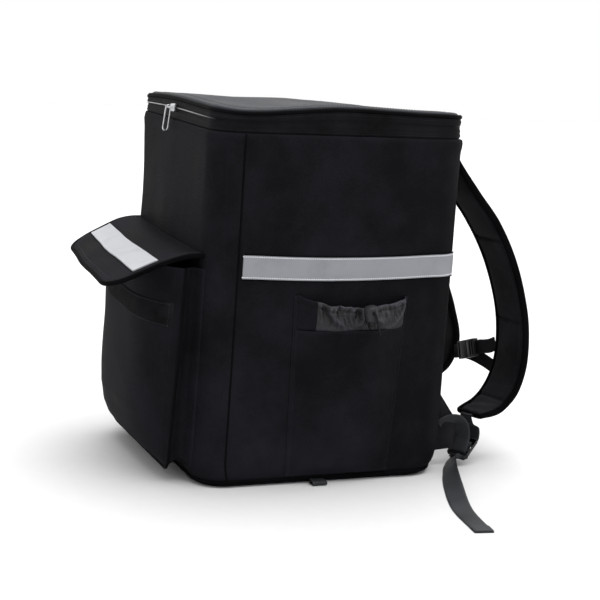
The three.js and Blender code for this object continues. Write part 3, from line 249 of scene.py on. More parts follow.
# braided drawcord
braid = wovenCloth("braidedPolyesterCord", "#101012", "#2a2a2e", 0.8, (0.5, 0.65), depth=0.3)
# silver tape
reflective = beadedTape("beadedReflectiveTape", "#84858a", "#626367")
flapTape = beadedTape("beadedReflectiveTapePaintedLight", "#a3a4a8", "#7b7c80")  # the same tape painted paler: painted light for the brighter reflection of the upward-facing flap
# acetal mouldings: black, satin, edges rubbed grey
acetal = mouldedPlastic("mouldedAcetal", "#0a0a0b", "#303034")
# painted light: paler than the buttons' acetal, standing in for the lit tops of the cord lock barrels and
# ladder locks
lockPlastic = mouldedPlastic("paintedLightAcetal", "#19191b", "#4a4a4f", rough=0.42)
# nickel-plated zinc
nickel = platedMetal("nickelPlatedZinc", "#d5d6d8", "#7e8084")
# its dark colour is painted shade from the lid's fold, and also tints its few smudges
teethMetal = platedMetal("nickelPlatedTeeth", "#cfd0d2", "#1a1a1c", shadeAlongX=(40, 140))
print("materials made:", len(bpy.data.materials))


def linked(name, data):
    made = bpy.data.objects.new(name, data)
    bpy.context.scene.collection.objects.link(made)
    return made


def evaluatedOf(piece):
    return piece.evaluated_get(bpy.context.evaluated_depsgraph_get())


def coordsOf(piece):
    flat = np.empty(len(piece.data.vertices) * 3)
    piece.data.vertices.foreach_get("co", flat)
    return flat.reshape(-1, 3)


def xyz(x, y, z):
    return np.stack(np.broadcast_arrays(x, y, z), -1)


def circle(count):
    return np.linspace(0, 2 * np.pi, count, endpoint=False)


def meshPiece(name, points, faces, material, uvs=None, sharp=42):
    data = bpy.data.meshes.new(name)
    data.from_pydata((np.asarray(points, float) * 0.001).tolist(), [], faces)
    if uvs is not None:
        layer = data.uv_layers.new(name="UVMap")
        layer.data.foreach_set("uv", (np.asarray(uvs, float) * 0.001).ravel())
    made = linked(name, data)
    data.materials.append(material)
    shell = bmesh.new()
    shell.from_mesh(data)
    if shell.calc_volume(signed=True) < 0:
        bmesh.ops.reverse_faces(shell, faces=shell.faces)
        shell.to_mesh(data)
    shell.free()
    data.shade_smooth()
    data.set_sharp_from_angle(angle=math.radians(sharp))
    return made


# faces of a grid of points, with the unwrapped row and column of each corner.
def quadsOf(rows, columns, closedRows=False, closedColumns=False, start=0, flip=False):
    i, j = np.meshgrid(np.arange(rows - (not closedRows)), np.arange(columns - (not closedColumns)),
                       indexing="ij")
    corners = [(i, j), (i + 1, j), (i + 1, j + 1), (i, j + 1)]
    if flip:
        corners.reverse()
    faces = np.stack([start + (a % rows) * columns + b % columns for a, b in corners], -1).reshape(-1, 4)
    place = np.stack([np.stack([a, b], -1) for a, b in corners], 2).reshape(-1, 4, 2)
    return faces, place


def runLengths(points, axis, closed=False):
    joined = np.concatenate([points, points[:1] if axis == 0 else points[:, :1]],
                            axis) if closed else points
    lengths = np.linalg.norm(np.diff(joined, axis=axis), axis=2).mean(1 - axis)
    return np.concatenate([[0], np.cumsum(lengths)])


def gridUvs(points, place, closedRows=False, closedColumns=False):
    u, v = runLengths(points, 0, closedRows), runLengths(points, 1, closedColumns)
    return np.stack([u[place[..., 0]], v[place[..., 1]]], -1)


# a sheet between two grids of points, with its edges closed; the rows may run round on themselves.
def slab(name, front, back, material, closed=False, sharp=42):
    rows, columns = front.shape[:2]
    count = rows * columns
    outside, place = quadsOf(rows, columns, closed)
    inside, _ = quadsOf(rows, columns, closed, start=count, flip=True)
    spread = gridUvs(front, place, closed)
    rims = []
    index = np.arange(count).reshape(rows, columns)
    edges = [(index[:, 0], closed), (index[::-1, -1], closed)]
    if not closed:
        edges += [(index[-1, :], False), (index[0, ::-1], False)]
    for edge, loop in edges:
        following = np.roll(edge, -1) if loop else edge[1:]
        here = edge if loop else edge[:-1]
        rims.append(np.stack([here, here + count, following + count, following], -1))
    rims = np.concatenate(rims)
    faces = np.concatenate([outside, inside, rims])
    flat = np.concatenate([spread, spread[:, ::-1], np.zeros((len(rims), 4, 2))]).reshape(-1, 2)
    return meshPiece(name, np.concatenate([front.reshape(-1, 3), back.reshape(-1, 3)]), faces.tolist(),
                     material, flat, sharp)


# a closed body through rings of points; its ends are capped unless the run is closed.
def tube(name, rings, material, closed=False, sharp=50):
    rows, columns = rings.shape[:2]
    faces, place = quadsOf(rows, columns, closed, True)
    uvs = gridUvs(rings, place, closed, True).reshape(-1, 2)
    faces = faces.tolist()
    if not closed:
        faces += [list(range(columns))[::-1], [(rows - 1) * columns + k for k in range(columns)]]
        uvs = np.concatenate([uvs, np.zeros((2 * columns, 2))])
    return meshPiece(name, rings.reshape(-1, 3), faces, material, uvs, sharp)


def settle(piece, slotName, *nodes, body="bag"):
    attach(piece, body)
    if nodes:
        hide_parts(*nodes)
    return piece


def ripple(points, size, depth, seed):
    flat = np.asarray(points, float).reshape(-1, 3) / size + np.array([seed * 7.3, seed * 3.1, seed * 5.7])
    return depth * np.array([noise.noise(p) for p in flat.tolist()]).reshape(points.shape[:-1])


# the same points, moved to another height.
def atHeight(points, z):
    points[..., 2] = z
    return points


def bell(value, centre, width):
    return np.exp(-((value - centre) / width) ** 2)


def smooth(value, low, high):
    share = np.clip((value - low) / (high - low), 0, 1)
    return share * share * (3 - 2 * share)


# centripetal spline through the first three columns; the other columns are blended along it.
def smoothRun(stations, per):
    table = np.asarray(stations, float)
    at = table[:, :3]
    at = np.concatenate([[2 * at[0] - at[1]], at, [2 * at[-1] - at[-2]]])
    made = []
    for k in range(len(table) - 1):
        p0, p1, p2, p3 = at[k:k + 4]
        d0, d1, d2 = (max(math.sqrt(np.linalg.norm(gap)), 1e-4) for gap in (p1 - p0, p2 - p1, p3 - p2))
        t1 = ((p1 - p0) / d0 - (p2 - p0) / (d0 + d1) + (p2 - p1) / d1) * d1
        t2 = ((p2 - p1) / d1 - (p3 - p1) / (d1 + d2) + (p3 - p2) / d2) * d1
        for t in np.arange(per) / per:
            point = p1 + t1 * t + (3 * (p2 - p1) - 2 * t1 - t2) * t * t + (2 * (p1 - p2) + t1 + t2) * t ** 3
            made.append(np.concatenate([point, table[k, 3:] * (1 - t) + table[k + 1, 3:] * t]))
    made.append(table[-1])
    return np.array(made)


def framesOf(path, across):
    ahead = np.gradient(path, axis=0)
    ahead /= np.linalg.norm(ahead, axis=1, keepdims=True)
    side = across - ahead * (across * ahead).sum(1, keepdims=True)
    side /= np.linalg.norm(side, axis=1, keepdims=True)
    return ahead, side, np.cross(side, ahead)


# one ring at each point of a path, its points so far to the side and up.
def ringsOf(path, side, up, wideways, upways):
    return path[:, None] + side[:, None] * wideways[..., None] + up[:, None] * upways[..., None]


# rings of a round cord along a path, turned as little as may be from ring to ring.
def roundRun(path, radius, sides):
    ahead = np.gradient(path, axis=0)
    ahead = ahead / np.linalg.norm(ahead, axis=1, keepdims=True)
    side = np.cross(ahead[0], (0.31, 0.42, 0.85))
    radii = np.broadcast_to(radius, len(path))
    angles = circle(sides)
    rings = []
    for at, forward, r in zip(path, ahead, radii):
        side = side - forward * side.dot(forward)
        side /= np.linalg.norm(side)
        other = np.cross(forward, side)
        rings.append(at + r * (np.outer(np.cos(angles), side) + np.outer(np.sin(angles), other)))
    return np.array(rings)


# the same path with points a pitch apart.
def evenly(path, pitch):
    steps = np.concatenate([[0], np.cumsum(np.linalg.norm(np.diff(path[:, :3], axis=0), axis=1))])
    marks = np.linspace(0, steps[-1], max(int(steps[-1] / pitch), 1) + 1)
    return np.stack([np.interp(marks, steps, path[:, k]) for k in range(path.shape[1])], -1)


# Geometry Nodes: copies of one small shape along a line, standing on its stored outward direction.
def repeatTree(name, kind):
    tree = bpy.data.node_groups.new(name, "GeometryNodeTree")
    face = tree.interface
    face.new_socket("Geometry", in_out="INPUT", socket_type="NodeSocketGeometry")
    for label in ("Pitch", "Long", "Wide", "High", "Sidestep"):
        face.new_socket(label, in_out="INPUT", socket_type="NodeSocketFloat")
    face.new_socket("Finish", in_out="INPUT", socket_type="NodeSocketMaterial")
    face.new_socket("Geometry", in_out="OUTPUT", socket_type="NodeSocketGeometry")
    given = add(tree, "NodeGroupInput").outputs
    line = add(tree, "GeometryNodeMeshToCurve", {0: given["Geometry"]}).outputs[0]
    dots = add(tree, "GeometryNodeResampleCurve", {"Curve": line, "Length": given["Pitch"]},
               mode="LENGTH").outputs[0]
    outward = add(tree, "GeometryNodeInputNamedAttribute", {"Name": "outward"},
                  data_type="FLOAT_VECTOR").outputs[0]
    along = add(tree, "GeometryNodeInputTangent").outputs[0]
    turn = add(tree, "FunctionNodeAlignRotationToVector", {"Vector": along}, axis="X").outputs[0]
    turn = add(tree, "FunctionNodeAlignRotationToVector", {"Rotation": turn, "Vector": outward}, axis="Z",
               pivot_axis="X").outputs[0]
    if kind == "tooth":
        unit = add(tree, "GeometryNodeMeshCube", {"Size": (1.0, 1.0, 1.0)}).outputs[0]
    else:
        unit = add(tree, "GeometryNodeMeshIcoSphere", {"Radius": 0.5, "Subdivisions": 2}).outputs[0]
    size = add(tree, "ShaderNodeCombineXYZ", {0: given["Long"], 1: given["Wide"],
                                              2: given["High"]}).outputs[0]
    copies = add(tree, "GeometryNodeInstanceOnPoints",
                 {"Points": dots, "Instance": unit, "Rotation": turn, "Scale": size}).outputs[0]
    odd = add(tree, "ShaderNodeMath", {0: add(tree, "GeometryNodeInputIndex").outputs[0], 1: 2.0},
              operation="MODULO").outputs[0]
    step = sums(tree, "MULTIPLY", sums(tree, "MULTIPLY_ADD", odd, 2.0, -1.0), given["Sidestep"])
    shift = add(tree, "ShaderNodeCombineXYZ", {1: step}).outputs[0]
    copies = add(tree, "GeometryNodeTranslateInstances",
                 {"Instances": copies, "Translation": shift}).outputs[0]
    whole = add(tree, "GeometryNodeRealizeInstances", {0: copies}).outputs[0]
    whole = add(tree, "GeometryNodeSetMaterial",
                {"Geometry": whole, "Material": given["Finish"]}).outputs[0]
    add(tree, "NodeGroupOutput", {"Geometry": whole})
    return tree


repeats = {"stitch": repeatTree("stitchRow", "stitch"), "tooth": repeatTree("toothRow", "tooth")}


# runs is a list of (path, outward directions); returns one plain mesh of all the copies.
def rowAlong(name, runs, material, kind="stitch", **sizes):
    points, edges, outward = [], [], []
    for path, out in runs:
        start = len(points)
        points += (np.asarray(path) * 0.001).tolist()
        outward += np.broadcast_to(out, np.shape(path)).tolist()
        edges += [(start + k, start + k + 1) for k in range(len(path) - 1)]
    data = bpy.data.meshes.new(name + "Line")
    data.from_pydata(points, edges, [])
    stored = data.attributes.new("outward", "FLOAT_VECTOR", "POINT")
    stored.data.foreach_set("vector", np.array(outward, float).ravel())
    line = linked(name + "Line", data)
    modifier = line.modifiers.new("repeat", "NODES")
    modifier.node_group = repeats[kind]
    sockets = {s.name: s.identifier for s in repeats[kind].interface.items_tree if s.in_out == "INPUT"}
    for label, value in sizes.items():
        modifier[sockets[label]] = value * 0.001
    modifier[sockets["Finish"]] = material
    bpy.context.view_layer.update()
    made = linked(name, bpy.data.meshes.new_from_object(evaluatedOf(line)))
    line.modifiers.remove(modifier)
    bpy.data.objects.remove(line)
    if kind == "stitch":
        made.data.shade_smooth()
    return made


# a sewn row, its stitches so long, wide and high on a pitch, in mm.
def sewn(name, rows, material, slotName, pitch, long, wide, high):
    return settle(rowAlong(name, rows, material, Pitch=pitch, Long=long, Wide=wide, High=high), slotName)


# a round cord along a path.
def corded(name, path, radius, count, material, slotName, *nodes):
    return settle(tube(name, roundRun(path, radius, count), material), slotName, *nodes)


# a point between two values, by its share of the way.
def between(low, high, share):
    return low + (high - low) * share


sides = (("right", "Right", 1), ("left", "Left", -1))

# the body's outline, as in the solids
bag = {"width": 320, "depth": 344, "height": 440, "corner": 38, "wall": 8, "bulge": 4,
       "baseInset": 6, "baseRise": 14, "baseFlare": 4, "frontInset": 14, "frontRise": 34,
       "heelInset": 24, "heelRise": 52, "gap": 0.3}


def curl(z, rise):
    share = np.clip(z / rise, 0, 1)
    return 1 - np.sqrt(1 - (1 - share) ** 2)


def outline(z):
    inset = bag["baseInset"] * curl(z, bag["baseRise"])
    flare = bag["baseFlare"] * (1 - np.minimum(z / bag["height"], 1)) ** 2
    side = bag["width"] / 2 + flare - inset
    front = bag["depth"] / 2 + flare - np.maximum(inset, bag["frontInset"] * curl(z, bag["frontRise"]))
    back = bag["depth"] / 2 - np.maximum(inset, bag["heelInset"] * curl(z, bag["heelRise"]))
    return side, front, back, bag["corner"] - inset


# a point of the wall: places 0 to 1 right, 1 to 2 its back corner, 2 to 3 back, and on round to 8.
def around(place, z, offset=0.0):
    place, z, offset = np.broadcast_arrays(np.asarray(place, float), np.asarray(z, float),
                                           np.asarray(offset, float))
    side, front, back, corner = outline(z)
    turn = place % 8
    k = np.floor(turn).astype(int)
    share = turn - k
    wall = k // 2
    xs, yFront, yBack = side - corner, front - corner, back - corner
    cx = np.stack([xs, xs, -xs, -xs], -1)
    cy = np.stack([-yFront, yBack, yBack, -yFront], -1)
    pick = lambda table, which: np.take_along_axis(table, (which % 4)[..., None], -1)[..., 0]
    level = np.clip(z / bag["height"], 0, 1)
    belly = bag["bulge"] * (1 - (2 * share - 1) ** 2) ** 2 * 4 * level * (1 - level)
    odd = k % 2 == 1
    angle = wall * np.pi / 2 + np.where(odd, share * np.pi / 2, 0)
    reach = corner + offset + np.where(odd, 0, belly)
    along = np.where(odd, 1.0, share)
    x = pick(cx, wall) * (1 - along) + pick(cx, wall + 1) * along + reach * np.cos(angle)
    y = pick(cy, wall) * (1 - along) + pick(cy, wall + 1) * along + reach * np.sin(angle)
    return xyz(x, y, z)


rimTable = np.array([  # place, seam and rim as shares of the wave
    (0.0, 0, -0.05), (0.5, 0, 0.35), (1.0, 0, 0.2), (1.5, 0, 0.15), (2.5, -0.3, -0.35),
    (3.5, -0.8, -0.95), (4.0, -0.7, -0.85), (4.5, -0.2, -0.36), (5.5, 0, -0.34), (6.5, 0, 0.1),
    (7.0, 0, 0.05), (8.0, 0, -0.05)])
rim = {"wave": 20, "tape": 22, "teeth": 0.64}


def wave(place, column):
    turn = np.asarray(place, float) % 8
    k = np.clip(np.searchsorted(rimTable[:, 0], turn, side="right") - 1, 0, len(rimTable) - 2)
    share = (turn - rimTable[k, 0]) / (rimTable[k + 1, 0] - rimTable[k, 0])
    share = share * share * (3 - 2 * share)
    return rim["wave"] * (rimTable[k, column] * (1 - share) + rimTable[k + 1, column] * share)


def seamAt(place):
    return bag["height"] + wave(place, 1)


def rimAt(place):
    return bag["height"] + rim["tape"] + wave(place, 2)


seamPlaces = (0.0, 1.7, 3.3, 5.0)  # upright seams: at the front end of each side, and inside each back corner
wallRun = {"flat": 262, "corner": 58}  # millimetres of wall in one place
dents = np.array([  # place, height, reach along in places, reach up, depth
    (7.5, 300, 0.35, 60, -1.6), (6.6, 390, 0.3, 26, -1.8), (0.12, 350, 0.08, 60, -1.6),
    (0.55, 400, 0.3, 18, -1.4), (0.8, 330, 0.2, 40, 1.2), (0.9, 120, 0.1, 60, -1.3),
    (5.6, 330, 0.3, 70, -1.8), (0.1, 60, 0.1, 40, -1.2), (2.5, 430, 0.4, 14, -1.5),
    (7.9, 120, 0.3, 40, -1.0), (4.5, 380, 0.3, 40, -1.6), (7.2, 410, 0.2, 16, 1.2)])


# how far the cloth stands off the true wall: slow waves, dents, and the pull of the seams.
def drape(place, z):
    place, z = np.broadcast_arrays(np.asarray(place, float), np.asarray(z, float))
    at = around(place, z)
    lift = ripple(at * (1, 1, 0.7), 88, 1.5, 1) + ripple(at * (1, 1, 0.45), 34, 0.55, 4)
    lift = lift + ripple(at, 15, 0.16, 9)
    turn = place % 8
    for where, height, along, tall, depth in dents:
        lift = lift + depth * bell((turn - where + 4) % 8 - 4, 0, along) * bell(z, height, tall)
    for seam in seamPlaces:
        away = (turn - seam + 4) % 8 - 4
        away = away * np.where(np.floor(turn) % 2 == 0, wallRun["flat"], wallRun["corner"])
        lift = lift * (1 - 0.8 * bell(away, 0, 9)) - 1.3 * bell(away, 0, 3) + 0.5 * bell(np.abs(away), 8, 5)
    top = seamAt(place) - z
    lift = lift * smooth(z, 2, 40) * smooth(top, 0, 18)
    return lift - 1.6 * bell(z, 6, 5) + 0.9 * bell(top, 9, 6) - 0.8 * bell(top, 0, 3)


def onWall(place, z, lift=0.0):
    return atHeight(around(place, np.minimum(z, bag["height"]), lift + drape(place, z)), z)


def columnsRound():
    walls, corners = 52, 16
    return np.concatenate([np.linspace(k, k + 1, walls if k % 2 == 0 else corners,
                                       endpoint=False) for k in range(8)])


def sidePlace(y, z):
    _, front, back, corner = outline(z)
    return (y + front - corner) / (front + back - 2 * corner)


def frontPlace(x, z):
    side, _, _, corner = outline(z)
    flat = side - corner
    past = np.degrees(np.arcsin(np.clip((np.abs(x) - flat) / corner, 0, 1))) / 90
    return np.where(x > flat, 7 + past, np.where(x < -flat, 6 - past, 6 + (x + flat) / (2 * flat)))


def backPlace(x, z):
    side, _, _, corner = outline(z)
    return 2 + (side - corner - x) / (2 * (side - corner))


# body: outer cloth, foam edge and foil lining in one closed shell
def makeBody():
    round_ = columnsRound()
    low = np.array([0, 1.2, 3, 5, 7, 9, 12, 16, 21, 27, 33, 40, 47])
    heights = np.concatenate([low, np.linspace(54, 436, 74)])
    rings = [around(round_, 0) * (scale, scale, 1) for scale in (0.02, 0.5, 0.9)]
    for z in heights:
        eased = z + (seamAt(round_) - bag["height"]) * smooth(z, 340, 440)
        rings.append(onWall(round_, eased))
    top = seamAt(round_)
    rings += [onWall(round_, top - 0.6), onWall(round_, top, -1.0)]
    inner = lambda z, inset: atHeight(around(round_, np.maximum(z, bag["wall"]), -inset), z)
    rings.append(inner(top, bag["wall"] - 1))
    liningStart = len(rings) - 1
    rings += [inner(np.minimum(z, top - 1), bag["wall"]) for z in (400, 300, 200, 100, 52, 24, 9)]
    rings.append(inner(8, 12))
    rings += [around(round_, 8, -8) * (scale, scale, 1) for scale in (0.5, 0.02)]
    body = tube("bodyCloth", np.array(rings), oxford, sharp=60)
    body.data.materials.append(foilLining)
    columns = len(round_)
    for face in body.data.polygons:
        if len(face.vertices) == 4 and min(face.vertices) >= liningStart * columns:
            face.material_index = 1
    body.data.polygons[len(body.data.polygons) - 1].material_index = 1
    return settle(body, "body_fabric", "body_shell")


makeBody()


# a tape round the bag between two heights; offsets are blended from its lower to its upper edge.
def bandRound(name, low, high, offsets, thickness, material, rows=5):
    round_ = columnsRound()
    a, b = low(round_), high(round_)
    front, back = [], []
    for share in np.linspace(0, 1, rows):
        z = between(a, b, share)
        off = np.interp(share, np.linspace(0, 1, len(offsets)), offsets)
        for made, depth in ((front, off), (back, off - thickness)):
            made.append(atHeight(around(round_, np.minimum(z, bag["height"]), depth), z))
    return slab(name, np.stack(front, 1), np.stack(back, 1), material, closed=True)


# a path round the bag at a height, and the outward directions along it.
def lineRound(z, lift, places=None):
    round_ = columnsRound() if places is None else places
    height = z(round_)
    level = np.minimum(height, bag["height"])
    path = around(round_, level, lift)
    out = around(round_, level, lift + 5) - path
    return atHeight(path, height), out / np.linalg.norm(out, axis=1, keepdims=True)


# base seam: a grosgrain binding with a stitch row
baseTape = bandRound("baseBinding", lambda u: 3 + 0 * u, lambda u: 9 + 0 * u, (0.2, 2.1, 2.1, 0.2), 1.6,
                     grosgrain)
settle(baseTape, "binding", "base_binding")


def makeSeams():
    for k, seam in enumerate(seamPlaces):
        z = np.linspace(9, float(seamAt(seam)) - 1, 90)
        path = onWall(np.full(90, seam), z, 0.5)
        corded(f"uprightPiping{k}", path, 1.05, 8, pipingCloth, "piping")


makeSeams()
print("body made")

# zip band, teeth, rim and lid
zipBand = {"profile": (-3.2, -2.3, -2.1, -2.9, -2.5, -3.0, -3.6, -3.4, -2.6, -2.2, -2.5, -3.2),
           "thick": 1.8}


def teethAt(place):
    return (1 - rim["teeth"]) * seamAt(place) + rim["teeth"] * rimAt(place)


def makeZip():
    tape = bandRound("zipBand", lambda u: seamAt(u) + 0.3, rimAt, zipBand["profile"], zipBand["thick"],
                     zipCloth, rows=23)
    settle(tape, "zip_tape", "zipper_tape")
    shown = np.concatenate([np.linspace(3.6, 5, 60), np.linspace(5, 9.5, 300)[1:]])
    path, out = lineRound(teethAt, -2.5, shown)
    sag = np.interp(shown, [3.6, 5.2, 7.2, 8.4, 9.5], [0, 0, -0.3, -0.9, -0.9])
    path = path + out * sag[:, None]
    teeth = rowAlong("zipTeeth", [(path, out)], teethMetal, kind="tooth", Pitch=1.6, Long=0.9, Wide=1.2,
                     High=1.1, Sidestep=0.25)
    settle(teeth, "zip_metal", "zipper_coil")
    rows = [lineRound(lambda u: seamAt(u) + 0.36 * (rimAt(u) - seamAt(u)), -2.9),
            lineRound(lambda u: rimAt(u) - 3.2, -2.1), lineRound(lambda u: seamAt(u) + 3.2, -1.9)]
    sewn("zipStitches", rows, thread, "zip_tape", 3.6, 2.7, 0.7, 0.5)
    round_ = columnsRound()
    rings = []
    for angle in circle(12):
        wall = around(round_, bag["height"], -4 + 2.5 * math.cos(angle))
        rings.append(atHeight(wall, rimAt(round_) + 2.8 + 2.5 * math.sin(angle) + ripple(wall, 30, 0.5, 3)))
    piping = tube("lidPiping", np.stack(rings, 1), pipingCloth, closed=True)
    settle(piping, "piping", "lid_piping")


makeZip()

lid = {"edge": -6.8, "thick": 7.5, "crown": 2.0, "dent": 2.2}


def makeLid():
    round_ = columnsRound()
    middle = bag["height"] + rim["tape"] - 0.1 * rim["wave"]

    def ring(inward, inset, height):
        edge = around(round_, bag["height"], lid["edge"] - inset)
        share = float(smooth(inward, 0, 0.85))  # the wave of the rim dies out well before the middle
        z = rimAt(round_) * (1 - share) + middle * share + bag["gap"] + height
        return atHeight(edge * (1 - inward), z)

    rings = [ring(0.97, 0, 0), ring(0.6, 0, 0), ring(0.1, 0, 0), ring(0, 0.6, 0.3),
             ring(0, 0, 0.22 * lid["thick"]),
             ring(0, 0, 0.5 * lid["thick"]), ring(0, 0.5, 0.72 * lid["thick"]),
             ring(0, 2.2, 0.9 * lid["thick"]), ring(0, 4.5, 0.97 * lid["thick"])]
    for inward in (0.05, 0.065, 0.08, 0.1, *np.linspace(0.13, 0.97, 34)):
        made = ring(inward, 0, lid["thick"] + lid["crown"] * smooth(inward, 0.05, 0.7))
        lift = ripple(made, 75, 1.6, 21) + ripple(made * (1, 0.5, 1), 36, 0.6, 5)
        lift = lift * smooth(inward, 0.05, 0.25) - lid["dent"] * bell(inward, 0.082, 0.012) * 0.35
        made[..., 2] += lift
        rings.append(made)
    piece = tube("lidCloth", np.array(rings), lidCloth, sharp=60)
    settle(piece, "lid_fabric", "lid_panel")
    hem = ring(0.08, 0, lid["thick"] + 0.15)
    sewn("lidStitches", [(np.concatenate([hem, hem[:1]]), (0, 0, 1))], thread, "lid_fabric", 3.8, 2.8, 0.8,
         0.5)


makeLid()
print("zip and lid made")


# hard pieces: the solids' own shapes, with their moulded edges rounded
def softened(node, name, material, radius, body="bag", slotName="black_plastic", segments=3):
    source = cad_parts[node]
    data = source.data.copy()
    shell = bmesh.new()
    shell.from_mesh(data)
    bmesh.ops.remove_doubles(shell, verts=shell.verts, dist=0.00002)
    bmesh.ops.dissolve_limit(shell, angle_limit=math.radians(3), verts=shell.verts, edges=shell.edges)
    sharp = [e for e in shell.edges if len(e.link_faces) == 2 and e.calc_face_angle(0) > math.radians(35)]
    bmesh.ops.bevel(shell, geom=sharp, offset=radius * 0.001, segments=segments, profile=0.5,
                    affect="EDGES", clamp_overlap=True)
    shell.to_mesh(data)
    shell.free()
    data.materials.clear()
    data.materials.append(material)
    made = linked(name, data)
    data.shade_smooth()
    data.set_sharp_from_angle(angle=math.radians(35))
    for layer in list(data.uv_layers):
        data.uv_layers.remove(layer)
    return settle(made, slotName, node, body=body)


softened("zipper_slider", "zipSlider", nickel, 0.35, slotName="zip_metal")
softened("zipper_pull", "zipPull", nickel, 0.4, body="pull", slotName="zip_metal")
for word, cap, _ in sides:
    softened(f"cord_lock_barrel_{word}", f"cordLockBarrel{cap}", lockPlastic, 0.5)
    softened(f"cord_lock_button_{word}", f"cordLockButton{cap}", acetal, 0.4, body=f"button_{word}")
    softened(f"ladder_lock_{word}", f"ladderLock{cap}", lockPlastic, 1.4, segments=4)
softened("sternum_socket", "chestBuckleSocket", acetal, 0.6)
softened("sternum_plug", "chestBucklePlug", acetal, 0.5)
print("hard pieces made")

# reflective tape round each side
sideTape = {"top": 294, "sag": 3, "wide": 30, "lift": 0.7, "thick": 0.8, "from": 0.02, "to": 1.6}


def makeSideTapes():
    places = np.concatenate([np.linspace(sideTape["from"], 1, 80), np.linspace(1, sideTape["to"], 24)[1:]])
    top = sideTape["top"] - sideTape["sag"] * np.maximum(0, 1 - (2 * places - 1) ** 2)
    at = lambda share, lift: onWall(places, top - sideTape["wide"] * (1 - share), lift)
    shares, proud = np.linspace(0, 1, 9), sideTape["lift"] + sideTape["thick"]
    front = np.stack([at(share, proud + 0.35 * (1 - (2 * share - 1) ** 2)) for share in shares], 1)
    back = np.stack([at(share, sideTape["lift"] - 0.6) for share in shares], 1)
    lines = [at(share, proud + 0.1) for share in (0.075, 0.925)]
    edges = [at(share, sideTape["lift"] + 0.5) for share in (-0.01, 1.01)]
    for word, cap, sign in sides:
        turn = np.array([sign, 1, 1])
        piece = slab(f"reflectiveSide{cap}", front * turn, back * turn, reflective)
        settle(piece, "reflective", f"side_strip_{word}")
        rows = [(line * turn, (sign, 0, 0)) for line in lines]
        sewn(f"sideTapeStitches{cap}", rows, greyThread, "reflective", 3.0, 2.6, 1.6, 0.6)
        for k, edge in enumerate(edges):
            corded(f"sideTapeHem{cap}{k}", edge * turn, 0.8, 8, grosgrain, "binding")


makeSideTapes()

# front bellows pocket
pocket = {"width": 266, "bottom": 21, "top": 272, "gusset": 27, "fold": 8, "gussetThick": 2,
          "panelThick": 2.5, "crown": 36, "nearCorner": 10, "farCorner": 46, "piping": 3.6}
pocketRows = np.array([  # up the pocket, depth of the gusset, fullness of the panel
    (0, 1, 0), (0.02, 1, 0.16), (0.06, 0.99, 0.45), (0.13, 0.97, 0.72), (0.24, 0.93, 0.92),
    (0.4, 0.88, 0.98), (0.6, 0.83, 1.03), (0.8, 0.77, 1.1), (1, 0.72, 1.06)])


def frontWall(x, z):
    return -onWall(frontPlace(x, z), z)[..., 1]


def gussetAt(x, z):
    up = (z - pocket["bottom"]) / (pocket["top"] - pocket["bottom"])
    side, front, _, corner = outline(z)
    past = np.maximum(np.abs(x) - (side - corner), 0)
    wall = front - corner + np.sqrt(np.maximum(corner ** 2 - past ** 2, 0))
    return wall + pocket["gusset"] * np.interp(up, pocketRows[:, 0], pocketRows[:, 1])


def panelAt(x, z):
    half = pocket["width"] / 2
    up = (z - pocket["bottom"]) / (pocket["top"] - pocket["bottom"])
    share = np.minimum(np.abs(x) / half, 1)
    full = np.interp(up, pocketRows[:, 0], pocketRows[:, 2])
    base = gussetAt(np.sign(x) * share * half, z) + pocket["crown"] * full * (1 - share ** 4)
    at = xyz(x, -base, z)
    wander = ripple(at, 70, 1.6, 31) + ripple(at * (0.6, 1, 1), 30, 0.5, 33)
    return base + wander * smooth(1 - share, 0, 0.15) * smooth(up, 0, 0.15)


def pocketHalf(z, corner):
    rise = np.clip(z - pocket["bottom"], 0, corner)
    return pocket["width"] / 2 - corner + np.sqrt(corner ** 2 - (corner - rise) ** 2)


# down one side of the pocket, along its foot and up the other, with the way in.
def pocketEdge(outset):
    made, count = [], 26
    for corner, sign in ((pocket["nearCorner"], 1), (pocket["farCorner"], -1)):
        half, radius, low = pocket["width"] / 2 + outset, corner + outset, pocket["bottom"] - outset
        rows = [(half, z, -1, 0) for z in np.linspace(pocket["top"], low + radius, 2 * count)[:-1]]
        bend = [(math.cos(t), math.sin(t)) for t in np.linspace(0, math.pi / 2, 12)]
        rows += [(half - radius + radius * c, low + radius - radius * d, -c, d) for c, d in bend]
        rows += [(x, low, 0, 1) for x in np.linspace(half - radius, 0, count)[1:]]
        side = np.array(rows) * (sign, 1, sign, 1)
        made.append(side if sign > 0 else side[:-1][::-1])
    return np.concatenate(made)


